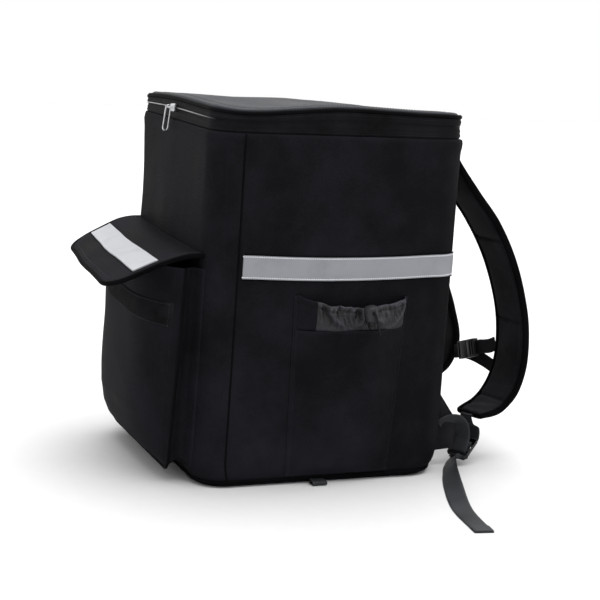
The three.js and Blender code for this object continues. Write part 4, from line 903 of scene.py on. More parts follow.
def makeFrontPocket():
    z = np.concatenate([pocket["bottom"] + np.array([0, 1, 2.5, 4.5, 7, 10, 14, 19, 25]),
                        np.linspace(52, pocket["top"], 46)])
    shares = np.sign(np.linspace(-1, 1, 61)) * (1 - (1 - np.abs(np.linspace(-1, 1, 61))) ** 1.25)
    grid = []
    for lift in (pocket["panelThick"], 0):
        rows = []
        for height in z:
            far, near = (pocketHalf(height, pocket[key]) for key in ("farCorner", "nearCorner"))
            x = shares * np.where(shares < 0, far, near)
            rows.append(xyz(x, -panelAt(x, height) - lift, height))
        grid.append(np.array(rows))
    panel = slab("pocketPanel", *grid, oxford)
    settle(panel, "body_fabric", "front_pocket_panel")

    edge = pocketEdge(0)
    deep = np.linspace(1, 0, 22)
    inward = np.interp(deep, [0, 0.12, 0.25, 0.42, 0.6, 0.75, 1], [-0.7, 0.2, 0.75, 1, 0.8, 0.45, 0])
    faces = []
    for inset in (0, pocket["gussetThick"]):
        rows = []
        for x, height, inX, inZ in edge:
            shift = pocket["fold"] * inward + inset
            px, pz = x + inX * shift, height + inZ * shift
            wall = frontWall(px, pz) + 0.1
            outer = gussetAt(np.array(x), np.array(height))
            y = wall + (outer - wall) * deep
            rows.append(xyz(px, -y, pz))
        faces.append(np.array(rows))
    pleat = (ripple(faces[0], 26, 1.1, 41) * np.sin(np.pi * deep))[..., None] * np.array([1, 0, 1])
    gusset = slab("pocketGusset", faces[0] + pleat * 0.6, faces[1] + pleat * 0.6, oxford)
    settle(gusset, "body_fabric", "front_pocket_gusset")

    out = pocket["piping"] / 2 + 0.45
    line = []
    for x, height, inX, inZ in pocketEdge(out):
        ix, iz = x + inX * out, height + inZ * out
        line.append((x, -float(gussetAt(np.array(ix), np.array(iz))) - 1.5, height))
    corded("pocketPiping", np.array(line), pocket["piping"] / 2, 10, pipingCloth, "piping",
           "front_pocket_piping")
    inner = pocketEdge(-7)
    faceAt = lambda x, z: -float(panelAt(np.array(x), np.array(z))) - pocket["panelThick"] - 0.1
    stitched = np.array([(x, faceAt(x, z), z) for x, z, _, _ in inner])
    sewn("pocketStitches", [(stitched, (0, -1, 0))], thread, "body_fabric", 3.6, 2.6, 0.7, 0.5)


makeFrontPocket()

hook = {"start": -55, "end": 127, "lowLeft": 207, "highLeft": 231, "lowRight": 197, "highRight": 228,
        "thick": 1.6}


def makeHookPatch():
    shares = np.linspace(0, 1, 60)
    x = between(hook["start"], hook["end"], shares)
    low = between(hook["lowLeft"], hook["lowRight"], shares)
    high = between(hook["highLeft"], hook["highRight"], shares)
    low = low + 12 * (1 - smooth(shares, 0, 0.16)) ** 2  # the free end is cut round
    up = np.linspace(0, 1, 14)
    grid = []
    for lift in (pocket["panelThick"] + hook["thick"], pocket["panelThick"] - 0.4):
        z = low[:, None] + (high - low)[:, None] * up[None]
        xx = np.broadcast_to(x[:, None], z.shape)
        edge = np.minimum(np.minimum(up, 1 - up)[None] * 30, np.minimum(shares, 1 - shares)[:, None] * 180)
        grid.append(xyz(xx, -panelAt(xx, z) - lift + 0.9 * (edge < 1.2) * (lift > 3), z))
    settle(slab("hookPatch", *grid, hookCloth), "hook_tape", "hook_tape")
    runs = [(x[1:-1], between(low, high, share)[1:-1]) for share in (0.07, 0.93)]
    runs += [(np.full(12, x[k]), np.linspace(low[k] + 2, high[k] - 2, 12)) for k in (1, -2)]
    proud = [-panelAt(a, z) - pocket["panelThick"] - hook["thick"] + 0.1 for a, z in runs]
    lines = [(xyz(a, y, z), (0, -1, 0)) for (a, z), y in zip(runs, proud)]
    sewn("hookStitches", lines, dullThread, "hook_tape", 3.2, 2.5, 0.55, 0.4)


makeHookPatch()

# front flap, lifted and open
flap = {"width": 266, "length": 113, "drop": 38, "hinge": 293, "twist": 3, "skew": 0.1, "thick": 4,
        "corner": 30, "tapeAt": 50, "tapeWide": 30, "bindOut": 2.9, "bindHigh": 3.1}
flapCurve = np.array([  # along the flap, reach out, drop
    (0, 0, 0), (0.14, 0.135, 0.02), (0.3, 0.29, 0.12), (0.43, 0.415, 0.26), (0.7, 0.67, 0.6),
    (0.86, 0.815, 0.82), (0.95, 0.9, 0.94), (1, 0.945, 1)])
flapSpline = smoothRun(flapCurve, 8)


# share runs over the flap's width from -1 to 1, along from the hinge to the free edge.
def flapPoint(share, along, lift=0.0):
    share, along = np.broadcast_arrays(share, along)
    x = share * flap["width"] / 2
    reach = flap["length"] * (1 + flap["skew"] * share)
    hingeZ = flap["hinge"] - flap["twist"] * share
    out = np.interp(along, flapSpline[:, 0], flapSpline[:, 1]) * reach
    drop = np.interp(along, flapSpline[:, 0], flapSpline[:, 2]) * flap["drop"]
    wall = np.minimum(frontWall(x, hingeZ), 400)
    at = xyz(x, -(wall - 0.5 + out), hingeZ - drop)
    wander = ripple(at, 60, 1.5, 51) + ripple(at * (0.5, 1, 1), 28, 0.5, 52)
    slope = np.arctan2(flap["drop"], flap["length"])
    amount = lift + wander * smooth(along, 0.02, 0.3)
    return at + xyz(0, -amount * math.sin(slope) * 0.9, amount * math.cos(slope))


def flapHalf(along):
    left = (1 - along) * flap["length"]
    rise = np.minimum(left, flap["corner"])
    lost = flap["corner"] - np.sqrt(np.maximum(flap["corner"] ** 2 - (flap["corner"] - rise) ** 2, 0))
    return 1 - lost / (flap["width"] / 2)


def makeFlap():
    along = np.concatenate([np.linspace(0, 0.72, 26)[:-1], 1 - 0.28 * (1 - np.linspace(0, 1, 20)) ** 2])
    a, s = np.meshgrid(along, np.linspace(-1, 1, 81), indexing="ij")
    half, reach = flapHalf(a), a * flap["length"]
    tapeEnd = flap["tapeAt"] + flap["tapeWide"]
    puff = 0.5 * bell(reach, 25, 14) + 0.6 * bell(reach, 96, 8)
    dip = 0.5 * (bell(reach, flap["tapeAt"] - 1, 1.6) + bell(reach, tapeEnd + 1, 1.6))
    top = flapPoint(s * half, a, puff - dip)
    under = flapPoint(s * half, a, -flap["thick"] - 0.5 * puff)
    piece = slab("pocketFlap", top, under, oxford)
    settle(piece, "body_fabric", "front_flap")
    rows = [(flapHalf(t), t) for t in along[:-1]]
    end = [(c * flapHalf(1.0), 1.0) for c in np.linspace(1, -1, 90)]
    edge = np.array(rows + end + [(-h, t) for h, t in rows[::-1]])
    path = evenly(flapPoint(edge[:, 0], edge[:, 1], -flap["thick"] / 2), 2.5)
    _, side, up = framesOf(path, np.broadcast_to((0.0, 0.0, 1.0), path.shape))
    outward = up if (up[len(up) // 2, 1] < 0) else -up
    rings = [path + outward * (0.6 + flap["bindOut"] * math.cos(t)) + side
             * (flap["bindHigh"] * math.sin(t))
             for t in circle(14)]
    settle(tube("flapBinding", np.stack(rings, 1), grosgrain), "binding", "flap_binding")
    spread = np.linspace(-0.9, 0.94, 80)
    steps = np.linspace(flap["tapeAt"], tapeEnd, 9) / flap["length"]
    band = [np.stack([flapPoint(spread * flapHalf(t), t, lift) for t in steps], 1) for lift in (1.9, 0.2)]
    settle(slab("reflectiveFlap", *band, flapTape), "reflective", "flap_strip")
    lines = [(flapPoint(spread * flapHalf(t), t, 2.0), (0, -0.3, 0.95))
             for t in ((flap["tapeAt"] + 2) / flap["length"], (tapeEnd - 2) / flap["length"])]
    sewn("flapTapeStitches", lines, greyThread, "reflective", 3.4, 2.7, 0.9, 0.5)
    inner = evenly(flapPoint(edge[:, 0] * 0.945, edge[:, 1] * 0.93 + 0.005, 0.35), 2.5)
    sewn("flapStitches", [(inner, (0, -0.3, 0.95))], dullThread, "body_fabric", 3.6, 2.6, 0.7, 0.5)


makeFlap()
print("front pocket and flap made")

# bottle pockets with their gathered collars
bottle = {"topWide": 148, "footWide": 135, "middle": 18, "footMiddle": 13.5, "foot": 12, "top": 200,
          "belly": 13, "thick": 2, "collar": 44, "sag": 14, "tab": -0.7, "finer": 30, "seamTop": 243}
bottleRows = np.array([(0, 0), (0.05, 0.3), (0.16, 0.6), (0.35, 0.85), (0.6, 1), (0.85, 1), (1, 0.92)])


def bottlePoint(a, z, full, lift=0.0):
    up = (z - bottle["foot"]) / (bottle["top"] - bottle["foot"])
    half = between(bottle["footWide"], bottle["topWide"], up) / 2
    y = between(bottle["footMiddle"], bottle["middle"], up) + a * half
    wall = onWall(sidePlace(y, z), z)[..., 0]
    x = wall + 0.1 + bottle["belly"] * full * (1 - np.abs(a) ** 4) + lift
    return xyz(x, y, z)


def collarTop(a):
    sag = bottle["sag"] * (1 - np.abs(a - 0.1) ** 2.2 / 1.1 ** 2.2)
    return bottle["top"] + 0.3 + bottle["collar"] - sag


# crumpled folds of the elasticated collar, deepest along the drawcord.
def gathers(a, up):
    drift = ripple(xyz(a * 2.6, up * 1.2, 0.7), 1, 2.4, 61)
    broad = 9.0 * (0.5 + 0.5 * np.sin(a * 17 + 2.2 * drift + 0.8 * up)) ** 1.4
    narrow = 2.2 * np.sin(a * 46 + 5 * drift + 2 * up) * bell(up, 0.82, 0.22)
    fine = xyz(a * 21 + 1.2 * np.sin(up * 4 + a * 5), up * 3.2, 4.2)
    fold = (broad + narrow) * (0.25 + 0.85 * bell(up, 0.7, 0.4)) + ripple(fine, 1, 1.3, 62)
    fold = fold * smooth(a, bottle["tab"] - 0.05, bottle["tab"] + 0.08)  # a flat tab at the front end
    return fold * np.sqrt(np.maximum(1 - a * a, 0)) ** 0.6


def makeBottlePocket():
    shares = np.linspace(-1, 1, 61)
    heights = np.concatenate([np.linspace(bottle["foot"], bottle["finer"], 10)[:-1],
                              np.linspace(bottle["finer"], bottle["top"], 40)])
    a, z = np.meshgrid(shares, heights, indexing="ij")
    full = np.interp((z - bottle["foot"]) / (bottle["top"] - bottle["foot"]), bottleRows[:, 0],
                     bottleRows[:, 1])
    outer = bottlePoint(a, z, full)
    crease = ripple(outer * (1, 1, 0.35), 24, 1.5, 71) + ripple(outer, 55, 1.6, 72)
    lift = crease * smooth(1 - np.abs(a), 0, 0.2) * smooth(z, 12, 50)
    lift = lift - 1.6 * bell(a, -0.35, 0.1) * smooth(z, 60, 160) + 2.2 * bell(a, 0.45, 0.22)
    front = outer + xyz(lift + bottle["thick"], 0, 0)
    cloth = (front, outer + xyz(lift, 0, 0))
    up = np.linspace(0, 1, 30)
    sharesC = np.linspace(-1, 1, 181)
    ac, uc = np.meshgrid(sharesC, up, indexing="ij")
    zc = bottle["top"] + 0.3 + uc * (collarTop(ac) - bottle["top"] - 0.3)
    zc = zc + ripple(xyz(ac * 9, 0, 0), 1, 1.6, 63) * smooth(uc, 0.5, 1)
    fullC = np.interp(uc, [0, 0.35, 0.7, 1], [0.92, 1.02, 1.05, 0.95])
    fold = gathers(ac, uc) * smooth(uc, -0.1, 0.3)
    hem = 1.3 * bell(uc, 0.93, 0.09) - 0.8 * bell(uc, 0.8, 0.03)
    collarOut = bottlePoint(ac, zc, fullC, fold + hem + bottle["thick"] + 0.2 - 1.2 * bell(uc, 0.0, 0.06))
    collarIn = bottlePoint(ac, zc, fullC, fold * 0.9 - 0.6 * hem)
    seams = []
    for sign in (-1, 1):
        zs = np.linspace(bottle["foot"], bottle["seamTop"], 80)
        top = np.minimum(zs, collarTop(sign * 1.0))
        at = bottlePoint(sign * 1.0 + 0 * zs, top, 0 * zs, 0.4)
        seams.append(at)
    for word, cap, sign in sides:
        turn = np.array([sign, 1, 1])
        piece = slab(f"bottlePocket{cap}", cloth[0] * turn, cloth[1] * turn, oxford)
        settle(piece, "body_fabric", f"bottle_pocket_{word}")
        piece = slab(f"pocketCollar{cap}", collarOut * turn, collarIn * turn, taffeta, sharp=80)
        piece.data.materials.append(oxford)
        tabEnd = float(bottlePoint(np.array(bottle["tab"]), np.array(220.0), 0)[1]) * 0.001
        for face in piece.data.polygons:
            face.material_index = int(face.center[1] < tabEnd)
        settle(piece, "collar_fabric", f"pocket_collar_{word}")
        for k, seam in enumerate(seams):
            wide = np.array([0, 1.0, 0])
            strip = [seam + wide * s * 2.3 * (-1 if k == 0 else 1) for s in np.linspace(-0.6, 1.6, 5)]
            lift = [np.array([1.1, 0, 0]) * h for h in (1.2, 1.6, 1.5, 1.1, 0.4)]
            top = np.stack([s + h for s, h in zip(strip, lift)], 1) * turn
            low = np.stack([s - np.array([1.4, 0, 0]) for s in strip], 1) * turn
            settle(slab(f"pocketSideSeam{cap}{k}", top, low, oxford), "body_fabric")
        rows = [((seams[k] + (1.9, d, 0)) * turn, (sign, 0, 0)) for k, d in ((0, -1.2), (1, 1.2))]
        base = bottlePoint(shares, 200.2 + 0 * shares, 0.92 + 0 * shares, bottle["thick"] + 0.6)
        rows.append((base * turn, (sign, 0, 0)))
        sewn(f"bottleStitches{cap}", rows, thread, "body_fabric", 3.4, 2.5, 0.7, 0.5)


makeBottlePocket()
print("bottle pockets made")

# padded back: quilted spacer mesh with sewn channels
backPad = {"width": 244, "bottom": 60, "top": 420, "thick": 3.5, "seat": 0.8, "corner": 26, "puff": 3.4,
           "channels": (-0.33, 0.33)}


def makeBackPad():
    height = backPad["top"] - backPad["bottom"]
    rows = np.linspace(0, 1, 90)
    shares = np.linspace(-1, 1, 71)
    v, s = np.meshgrid(rows, shares, indexing="ij")
    z = backPad["bottom"] + v * height
    away = np.minimum(v, 1 - v) * height
    lost = backPad["corner"] - np.sqrt(np.maximum(backPad["corner"] ** 2
                                                  - np.maximum(backPad["corner"] - away, 0) ** 2, 0))
    x = s * (backPad["width"] / 2 - lost)
    edge = np.minimum(away, (1 - np.abs(s)) * backPad["width"] / 2)
    puff = backPad["puff"] * smooth(edge, 1, 16)
    for channel in backPad["channels"]:
        puff = puff - backPad["puff"] * bell(s, channel, 0.035)
    for level in (0.27, 0.52, 0.77):
        puff = puff - 0.8 * backPad["puff"] * bell(v, level, 0.013) * (np.abs(s) < 0.93)
    wall = xyz(x, onWall(backPlace(x, z), z)[..., 1], z)
    puff = puff + ripple(wall, 40, 0.7, 81) * smooth(edge, 2, 20)
    lift = backPad["seat"] + backPad["thick"] * smooth(edge, -2, 4) + np.maximum(puff, -0.6)
    up = np.array([0, 1.0, 0])
    piece = slab("backPad", wall + up * lift[..., None], wall + up * 0.2, spacerMesh)
    settle(piece, "back_fabric", "back_panel")
    loop = evenly(np.concatenate([wall[:, 0], wall[-1, :], wall[::-1, -1], wall[0, ::-1]]), 3)
    corded("backBinding", loop + np.array([0, 2.4, 0]), 2.3, 10, grosgrain, "binding")


makeBackPad()


# webbing and other flat straps along a route, with their woven edges rounded
def flatRun(name, stations, material, wide, thick, per):
    run = smoothRun(stations, per)
    path, across = run[:, :3], run[:, 3:6]
    _, side, up = framesOf(path, across)
    w, t = wide / 2 * np.ones(len(path)), thick / 2 * np.ones(len(path))
    spread = np.concatenate([np.linspace(-1, 1, 15), np.linspace(1, -1, 15)])
    face = np.concatenate([np.ones(15), -np.ones(15)])
    lift = face * np.sqrt(np.maximum(1 - np.abs(spread) ** 12, 0))
    keep = [k for k in range(30) if k not in (0, 14)]
    rings = ringsOf(path, side, up, spread[keep] * w[:, None], lift[keep] * t[:, None])
    return tube(name, rings, material, sharp=60)


# shoulder straps: foam pads between bound edges, hanging out from the back
strap = {"cap": 5, "pressure": 4, "voxel": 4, "steps": 20, "rest": 0.86, "binding": 4.2,
         "tacks": (0.33, 0.62, 0.9)}
# down each strap: across, width and thickness; then how far back and how high, for each side
strapShape = [(66, 80.1, 4.2), (66.5, 83.2, 8.4), (72, 86.2, 12.6), (78, 86.2, 14), (83, 81.6, 14),
              (87, 77, 14), (90, 75.5, 14), (92, 74.7, 14), (95, 73.1, 13.3), (99, 66.2, 11.9),
              (105, 50.8, 8.4)]
strapRuns = {
    "right": [(179.1, 417), (184.8, 404.6), (210.2, 368), (243.4, 326.1), (270.3, 278.9), (289.8, 226),
              (298.8, 182), (299.2, 130.2), (286.8, 94.7), (264.6, 72.7), (236.4, 64.8)],
    "left": [(179.1, 417), (184.2, 401), (199.3, 362), (221.4, 317.6), (243.4, 271.4), (262.9, 221.8),
             (283.5, 173.8), (296.2, 127.7), (286.8, 91.1), (264.6, 71.9), (236.4, 64.8)]}


# a finer copy is blown up a little with its seams held, as foam pushes out its cover.
def inflate(piece, pinned):
    remesh = piece.modifiers.new("even", "REMESH")
    remesh.mode, remesh.voxel_size = "VOXEL", strap["voxel"] * 0.001
    bakeModifiers(piece)
    start = coordsOf(piece)
    group = piece.vertex_groups.new(name="seams")
    weights = np.clip(pinned(start * 1000), 0, 1)
    for k, weight in enumerate(weights):
        if weight > 0.02:
            group.add([k], float(weight), "REPLACE")
    cloth = piece.modifiers.new("foam", "CLOTH")
    cloth.settings.quality = 5
    cloth.settings.mass = 0.3
    cloth.settings.use_pressure = True
    cloth.settings.uniform_pressure_force = strap["pressure"]
    cloth.settings.vertex_group_mass = "seams"
    cloth.settings.effector_weights.gravity = 0
    cloth.collision_settings.use_collision = False
    cloth.point_cache.frame_end = strap["steps"]
    for step in range(1, strap["steps"] + 1):
        bpy.context.scene.frame_set(step)
    move = coordsOf(evaluatedOf(piece)) - start
    length = np.linalg.norm(move, axis=1, keepdims=True)
    start = start + move * np.minimum(1, strap["cap"] * 0.001 / np.maximum(length, 1e-9))
    piece.modifiers.remove(cloth)
    piece.vertex_groups.clear()
    bpy.context.scene.frame_set(1)
    piece.data.vertices.foreach_set("co", start.ravel())
    smoothing = piece.modifiers.new("finer", "SUBSURF")
    smoothing.levels = smoothing.render_levels = 1
    bakeModifiers(piece)
    piece.data.shade_smooth()


def bakeModifiers(piece):
    bpy.context.view_layer.update()
    data = bpy.data.meshes.new_from_object(evaluatedOf(piece))
    piece.modifiers.clear()
    old = piece.data
    piece.data = data
    bpy.data.meshes.remove(old)


def makeStrap(word, cap, sign):
    table = [(x * sign, y, z, 1, 0, 0, w, t) for (x, w, t), (y, z) in zip(strapShape, strapRuns[word])]
    run = smoothRun(table, 12)
    path = run[:, :3]
    _, side, up = framesOf(path, run[:, 3:6])
    w, t = run[:, 6] / 2, run[:, 7] / 2
    total = np.concatenate([[0], np.cumsum(np.linalg.norm(np.diff(path, axis=0), axis=1))])
    share = total / total[-1]
    angles = circle(40)
    cs, sn = np.cos(angles), np.sin(angles)
    flat = np.sign(cs) * np.abs(cs) ** 0.55
    high = np.sign(sn) * np.abs(sn) ** 0.7
    rings = ringsOf(path, side, up, flat * (w[:, None] - 1.6), high * strap["rest"] * t[:, None])
    piece = tube(f"shoulderStrap{cap}", rings, strapCloth)
    tree = KDTree(len(path))
    for k, at in enumerate(path.tolist()):
        tree.insert(at, k)
    tree.balance()

    def frameOf(points):
        near = np.array([tree.find(p)[1] for p in points.tolist()])
        off = points - path[near]
        return near, (off * side[near]).sum(1) / w[near], (off * up[near]).sum(1)

    def pinned(points):
        near, across, _ = frameOf(points)
        hold = smooth(np.abs(across), 0.8, 0.93)
        for tack in strap["tacks"]:
            hold = np.maximum(hold, bell(share[near], tack, 0.012))
        return np.maximum(hold, smooth(share[near], 0.96, 1) + 1 - smooth(share[near], 0, 0.04))

    inflate(piece, pinned)
    points = coordsOf(piece) * 1000
    near, across, height = frameOf(points)
    groove = np.zeros(len(points))
    for tack in strap["tacks"]:
        groove += 2.4 * bell((share[near] - tack) * total[-1], 0, 3.0)
    groove += 1.1 * bell(np.abs(across), 0.84, 0.035)
    along = share[near] * total[-1]
    wrinkle = ripple(xyz(along, across * 22, 0), 17, 1.1, 91) * smooth(share[near], 0.5, 0.86)
    tight = smooth(share[near], 0.86, 0.95)
    wrinkle += 0.9 * np.sin(along / 4.2 + 2 * across) * tight * (1 - smooth(share[near], 0.97, 1))
    wrinkle += ripple(points, 46, 1.2, 92)
    inside = 1 - smooth(np.abs(across), 0.75, 0.95)
    push = np.sign(height) * (-groove) + np.sign(height) * wrinkle * inside
    points = points + up[near] * (push * np.minimum(1, np.abs(height) / 2))[:, None]
    layer = piece.data.uv_layers.new(name="UVMap")
    loops = np.empty(len(piece.data.loops), int)
    piece.data.loops.foreach_get("vertex_index", loops)
    uv = np.stack([along, across * w[near]], -1)[loops] * 0.001
    layer.data.foreach_set("uv", uv.ravel())
    piece.data.vertices.foreach_set("co", (points * 0.001).ravel())
    settle(piece, "strap_fabric", f"shoulder_strap_{word}")

    bound = []
    for edge in (-1, 1):
        line = path + side * (edge * (w - 1.9))[:, None]
        bound.append(np.concatenate([line, side * edge, up, np.minimum(0.62 * t + 1.2, 5.2)[:, None]], 1))
    forward = (path[-1] - path[-2]) / np.linalg.norm(path[-1] - path[-2])
    turns = np.linspace(-np.pi / 2, np.pi / 2, 25)[1:-1]
    wideways = np.sign(np.sin(turns)) * np.abs(np.sin(turns)) ** 0.35
    outwards = np.outer(np.sin(turns), side[-1]) + np.outer(np.cos(turns), forward)
    endLine = path[-1] + np.outer(wideways * (w[-1] - 1.9), side[-1])
    endLine = endLine + np.outer(np.cos(turns) ** 0.5 * 3, forward)
    endUp = np.broadcast_to(up[-1], outwards.shape)
    thickness = np.full((len(turns), 1), bound[0][-1, 9])
    whole = np.concatenate([bound[0], np.concatenate([endLine, outwards, endUp, thickness], 1),
                            bound[1][::-1]])
    whole = evenly(whole, 2.5)
    ring = []
    for angle in circle(14):
        out = whole[:, 3:6] * (strap["binding"] * 0.55 * math.cos(angle))
        ring.append(whole[:, :3] + out + whole[:, 6:9] * (whole[:, 9:] * math.sin(angle)))
    settle(tube(f"strapBinding{cap}", np.stack(ring, 1), grosgrain), "binding")
    rows = []
    for face in (1, -1):
        for edge in (-0.84, 0.84):
            line = path + side * (edge * w)[:, None] + up * (face * (t * 0.93 + 0.7))[:, None]
            line = evenly(np.concatenate([line, up * face], 1), 2.5)[6:-6]
            rows.append((line[:, :3], line[:, 3:]))
    for tack in strap["tacks"][:2]:
        k = int(np.argmin(np.abs(share - tack)))
        spread = np.linspace(-0.8, 0.8, 30)
        rows += [(path[k] + side[k] * (spread * w[k])[:, None] + face * up[k] * (t[k] * 0.98), face * up[k])
                 for face in (1, -1)]
    sewn(f"strapStitches{cap}", rows, thread, "strap_fabric", 3.6, 2.7, 0.7, 0.5)


for word, cap, sign in sides:
    makeStrap(word, cap, sign)
print("straps made")

# webbing through each ladder lock, its loose tail on the floor
webbing = {"wide": 25, "thick": 1.5, "chestWide": 20}
webStart = [(102.7, 247.3, 67.9, 1, 0, 0), (105.1, 236, 64.7, 1, 0, 0)]
webThrough = [(*at, .866, .5, 0) for at in (
    (109.9, 237.5, 45.5), (109.7, 237.9, 30.8), (112.1, 233.7, 27.4), (115.6, 227.6, 28.1),
    (119.1, 221.5, 28.9), (120, 220, 22), (120.9, 218.5, 15.1), (122.9, 214.9, 8.3))]
webRuns = {
    "right": [*webStart, (106.4, 229.7, 63, 1, 0, 0), (110, 229.9, 53.2, .966, .259, 0), *webThrough,
              (135.7, 196, 10.4, .477, .431, .766), (172.5, 173.6, 10.1, .35, .571, .743),
              (231.8, 147.9, 6.1, .399, .814, .423), (304.8, 122, 1.9, .345, .934, .087),
              (380.9, 110, .8, .157, .988, 0)],
    "left": [*webStart, (106.4, 229.7, 63.2, 1, 0, 0), (110, 229.9, 53.5, .966, .259, 0), *webThrough,
             (139, 199, .8, .742, .671, 0), (171.8, 186.9, .8, .346, .938, 0),
             (232.3, 190, .8, -.052, .999, 0),
             (302, 216, .8, -.349, .937, 0), (361.9, 277.6, .8, -.717, .697, 0)]}
anchorRun = [(128.3, 180, 53, 0, -.55, .83), (128.6, 191, 60, .25, -.28, .92),
             (128.6, 202, 61, .55, .2, .8),
             (128, 210, 54.5, .8, .45, .4), (127.2, 213.8, 42, .866, .5, .05),
             (126.8, 212, 28, .866, .5, 0),
             (125.5, 210.4, 19.2, .866, .5, 0), (124.2, 212.7, 15.5, .866, .5, 0),
             (124.9, 211.5, 9.8, .866, .5, 0), (126.2, 209.3, 8.2, .866, .5, 0)]
chestAcross = (-.327, -.023, .945)  # for stations of the chest webbing that name no direction of their own
chestRuns = {
    "chestWebbingRight": ("sternum_webbing_right", [
        (49.1, 299.1, 147), (35.8, 298.2, 140.6), (21.6, 297.2, 136.4),
        (12, 296.5, 134.1), (2.8, 295.9, 130.9)]),
    "chestWebbingLeft": ("sternum_webbing_left", [
        (-37.4, 293.1, 116.9), (-44.3, 292.6, 114.5), (-51.5, 292.1, 112)]),
    "chestTail": ("sternum_tail", [
        (-35, 298.3, 115.9), (-15.9, 300.6, 116.7, -.155, -.011, .988),
        (9.2, 305.1, 113.9, .051, .003, .999),
        (37.5, 310.7, 107.2, .238, .016, .971), (68, 314.7, 97.4, .387, .027, .922)])}


def makeWebbing():
    for word, cap, sign in sides:
        run = webRuns[word] if sign > 0 else mirrored(webRuns[word])
        piece = flatRun(f"strapWebbing{cap}", run, webCloth, webbing["wide"], webbing["thick"], 8)
        settle(piece, "webbing", f"strap_webbing_{word}")
        end = np.array(run[-1], float)  # the cut end is turned over and sewn
        ahead = np.cross(end[3:], (0, 0, -1.0)) * sign
        ahead = ahead if ahead.dot(end[:3] - np.array(run[-2][:3])) > 0 else -ahead
        lift = lambda reach: (0, 0, 1.5 + 0.2 * (reach > 1))
        hem = [(*(end[:3] - ahead * reach + lift(reach)), *end[3:]) for reach in (0.4, 6, 12, 18)]
        settle(flatRun(f"tailHem{cap}", hem, webCloth, webbing["wide"] - 0.6, webbing["thick"], 5),
               "webbing")
        run = anchorRun if sign > 0 else mirrored(anchorRun)
        settle(flatRun(f"anchorWebbing{cap}", run, webCloth, webbing["wide"], webbing["thick"], 8),
               "webbing", f"anchor_webbing_{word}")
    for name, (node, run) in chestRuns.items():
        run = [at if len(at) > 3 else (*at, *chestAcross) for at in run]
        settle(flatRun(name, run, darkWebbing, webbing["chestWide"], webbing["thick"], 10), "webbing", node)


# the left side is the right one seen in a mirror, so its across direction is turned too.
def mirrored(stations):
    return [(-x, y, z, ax, -ay, -az) for x, y, z, ax, ay, az in stations]


makeWebbing()

# cloth wings that carry the anchors
# far has the outer edge's reach and rise, each at its foot and what is added to it at its top
wing = {"place": 126.05, "seat": 126.0, "height": 84, "bottom": 21, "reach": 36, "thick": 2.5,
        "far": (0.78, 0.14, 0.03, 0.43)}


def makeWings():
    u, o = np.meshgrid(np.linspace(0, 1, 34), np.linspace(0, 1, 22), indexing="ij")
    z = wing["bottom"] + u * wing["height"]
    start = xyz(0, onWall(backPlace(np.full(z.shape, wing["seat"]), z), z)[..., 1] - 0.3, z)
    out0, outMore, rise0, riseMore = wing["far"]
    farY = bag["depth"] / 2 + wing["reach"] * (out0 + outMore * u)
    far = xyz(0, farY, wing["bottom"] + wing["height"] * (rise0 + riseMore * u))
    at = start * (1 - o[..., None]) + far * o[..., None]
    bow = 3.2 * np.sin(np.pi * o) * np.sin(np.pi * u) + ripple(at, 22, 1.0, 95)
    edge = np.minimum(np.minimum(u, 1 - u) * wing["height"], (1 - o) * 40)
    # the cut is the wing's outline from the side
    for word, cap, sign in sides:
        grids = []
        for lift in (wing["thick"] / 2, -wing["thick"] / 2):
            out = lift * (0.6 + 0.4 * smooth(edge, 0, 3))
            x = sign * (wing["place"] + bow + out - 0.6 * bell(edge, 5, 1) * np.sign(lift))
            grids.append(xyz(x, at[..., 1], at[..., 2]))
        piece = slab(f"anchorWing{cap}", *grids, strapCloth)
        settle(piece, "strap_fabric", f"anchor_wing_{word}")


makeWings()

# short loops of webbing folded into the base seam
loop = {"place": -14, "wide": 20, "reach": 14, "high": 6, "thick": 1.5}


def makeLoops():
    start = float(outline(loop["high"])[0]) + 2 + 0.45
    low, high = 0.1 + loop["thick"] / 2, 0.1 + loop["high"] - loop["thick"] / 2
    middle, radius = (low + high) / 2, (high - low) / 2
    turn = start + loop["reach"] - radius - loop["thick"] / 2
    path = [(start, high), (start + 3, high + 0.2), (turn, high)]
    bends = np.linspace(0.3, math.pi - 0.3, 7)
    path += [(turn + radius * math.sin(t), middle + radius * math.cos(t)) for t in bends]
    path += [(turn, low), (start + 3, low + 0.2), (start, low)]
    for word, cap, sign in sides:
        run = [(sign * x, loop["place"], z, 0, 1, 0) for x, z in path]
        settle(flatRun(f"baseLoop{cap}", run, webCloth, loop["wide"], loop["thick"], 5), "webbing",
               f"base_loop_{word}")


makeLoops()

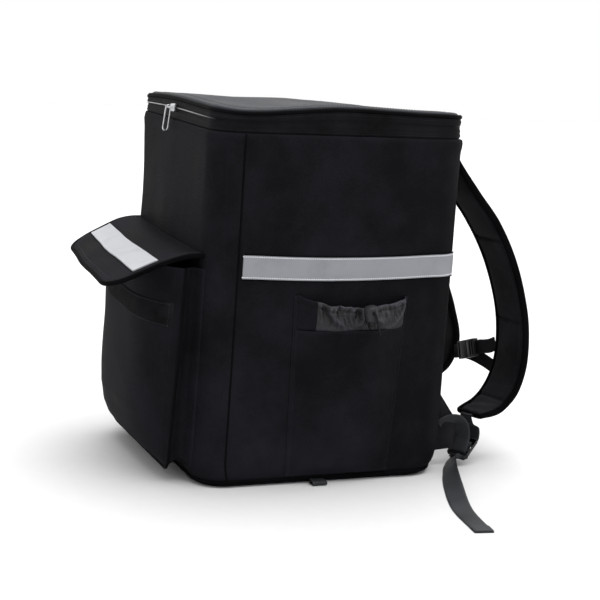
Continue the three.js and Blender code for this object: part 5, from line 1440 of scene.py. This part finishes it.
# a drawcord through each cord lock
drawcord = {"thick": 3, "run": [
    (183.5, 32.5, 227.2), (189.8, 32.5, 227.2), (195.8, 32.5, 227.2), (201.7, 32.5, 227.2),
    (204.3, 33.7, 225), (205.3, 35.3, 218.3), (204.7, 38.1, 209.3), (203.4, 41.5, 199.2)]}


def makeDrawcords():
    for word, cap, sign in sides:
        path = smoothRun(np.array(drawcord["run"]) * (sign, 1, 1), 6)
        radius = drawcord["thick"] / 2 * (1 + 0.12 * bell(np.arange(len(path)), len(path) - 3, 2))
        piece = corded(f"drawcord{cap}", path, radius, 12, braid, "cord", f"pocket_drawcord_{word}")


makeDrawcords()
print("webbing, wings, loops and drawcords made")

# a pale sweep of floor, and soft studio light
studio = {"floor": "#c6c6c6", "speck": "#c2c2c3", "world": 1.0, "sun": 4.2, "sunWide": 70, "key": 0.6,
          "fill": 2, "half": 6000, "lampSize": 1.4}


def makeStudio():
    made, tree = freshMaterial("matPaper")
    place = add(tree, "ShaderNodeTexCoord").outputs["Object"]
    fibres = noiseAt(tree, place, 60.0, 3.0)
    shaded(made, tree, {"Base Color": blend(tree, fibres, studio["floor"], studio["speck"]),
                        "Roughness": 0.9})
    size = studio["half"]
    floor = meshPiece("floor", [(-size, -size, 0), (size, -size, 0), (size, size, 0), (-size, size, 0)],
                      [(0, 1, 2, 3)], made)
    world = bpy.data.worlds.new("studioWorld")
    bpy.context.scene.world = world
    world.use_nodes = True
    world.node_tree.nodes["Background"].inputs[0].default_value = (1, 1, 1, 1)
    world.node_tree.nodes["Background"].inputs[1].default_value = studio["world"]
    lamps = {"key": ((900, -2100, 1500), studio["key"]), "fill": ((2300, 900, 1200), studio["fill"]),
             "top": ((-500, 500, 3000), studio["sun"])}
    for name, (at, power) in lamps.items():
        lamp = bpy.data.lights.new(name, "SUN" if name == "top" else "AREA")
        lamp.energy = power
        if name == "top":
            lamp.angle = math.radians(studio["sunWide"])  # a wide ceiling of light
        else:
            lamp.size = studio["lampSize"]
        holder = linked(name, lamp)
        holder.location = Vector(at) * 0.001
        holder.rotation_euler = (Vector((0, 0, 240)) - Vector(at)).to_track_quat("-Z", "Y").to_euler()
    bpy.context.scene.view_settings.view_transform = "Standard"


makeStudio()
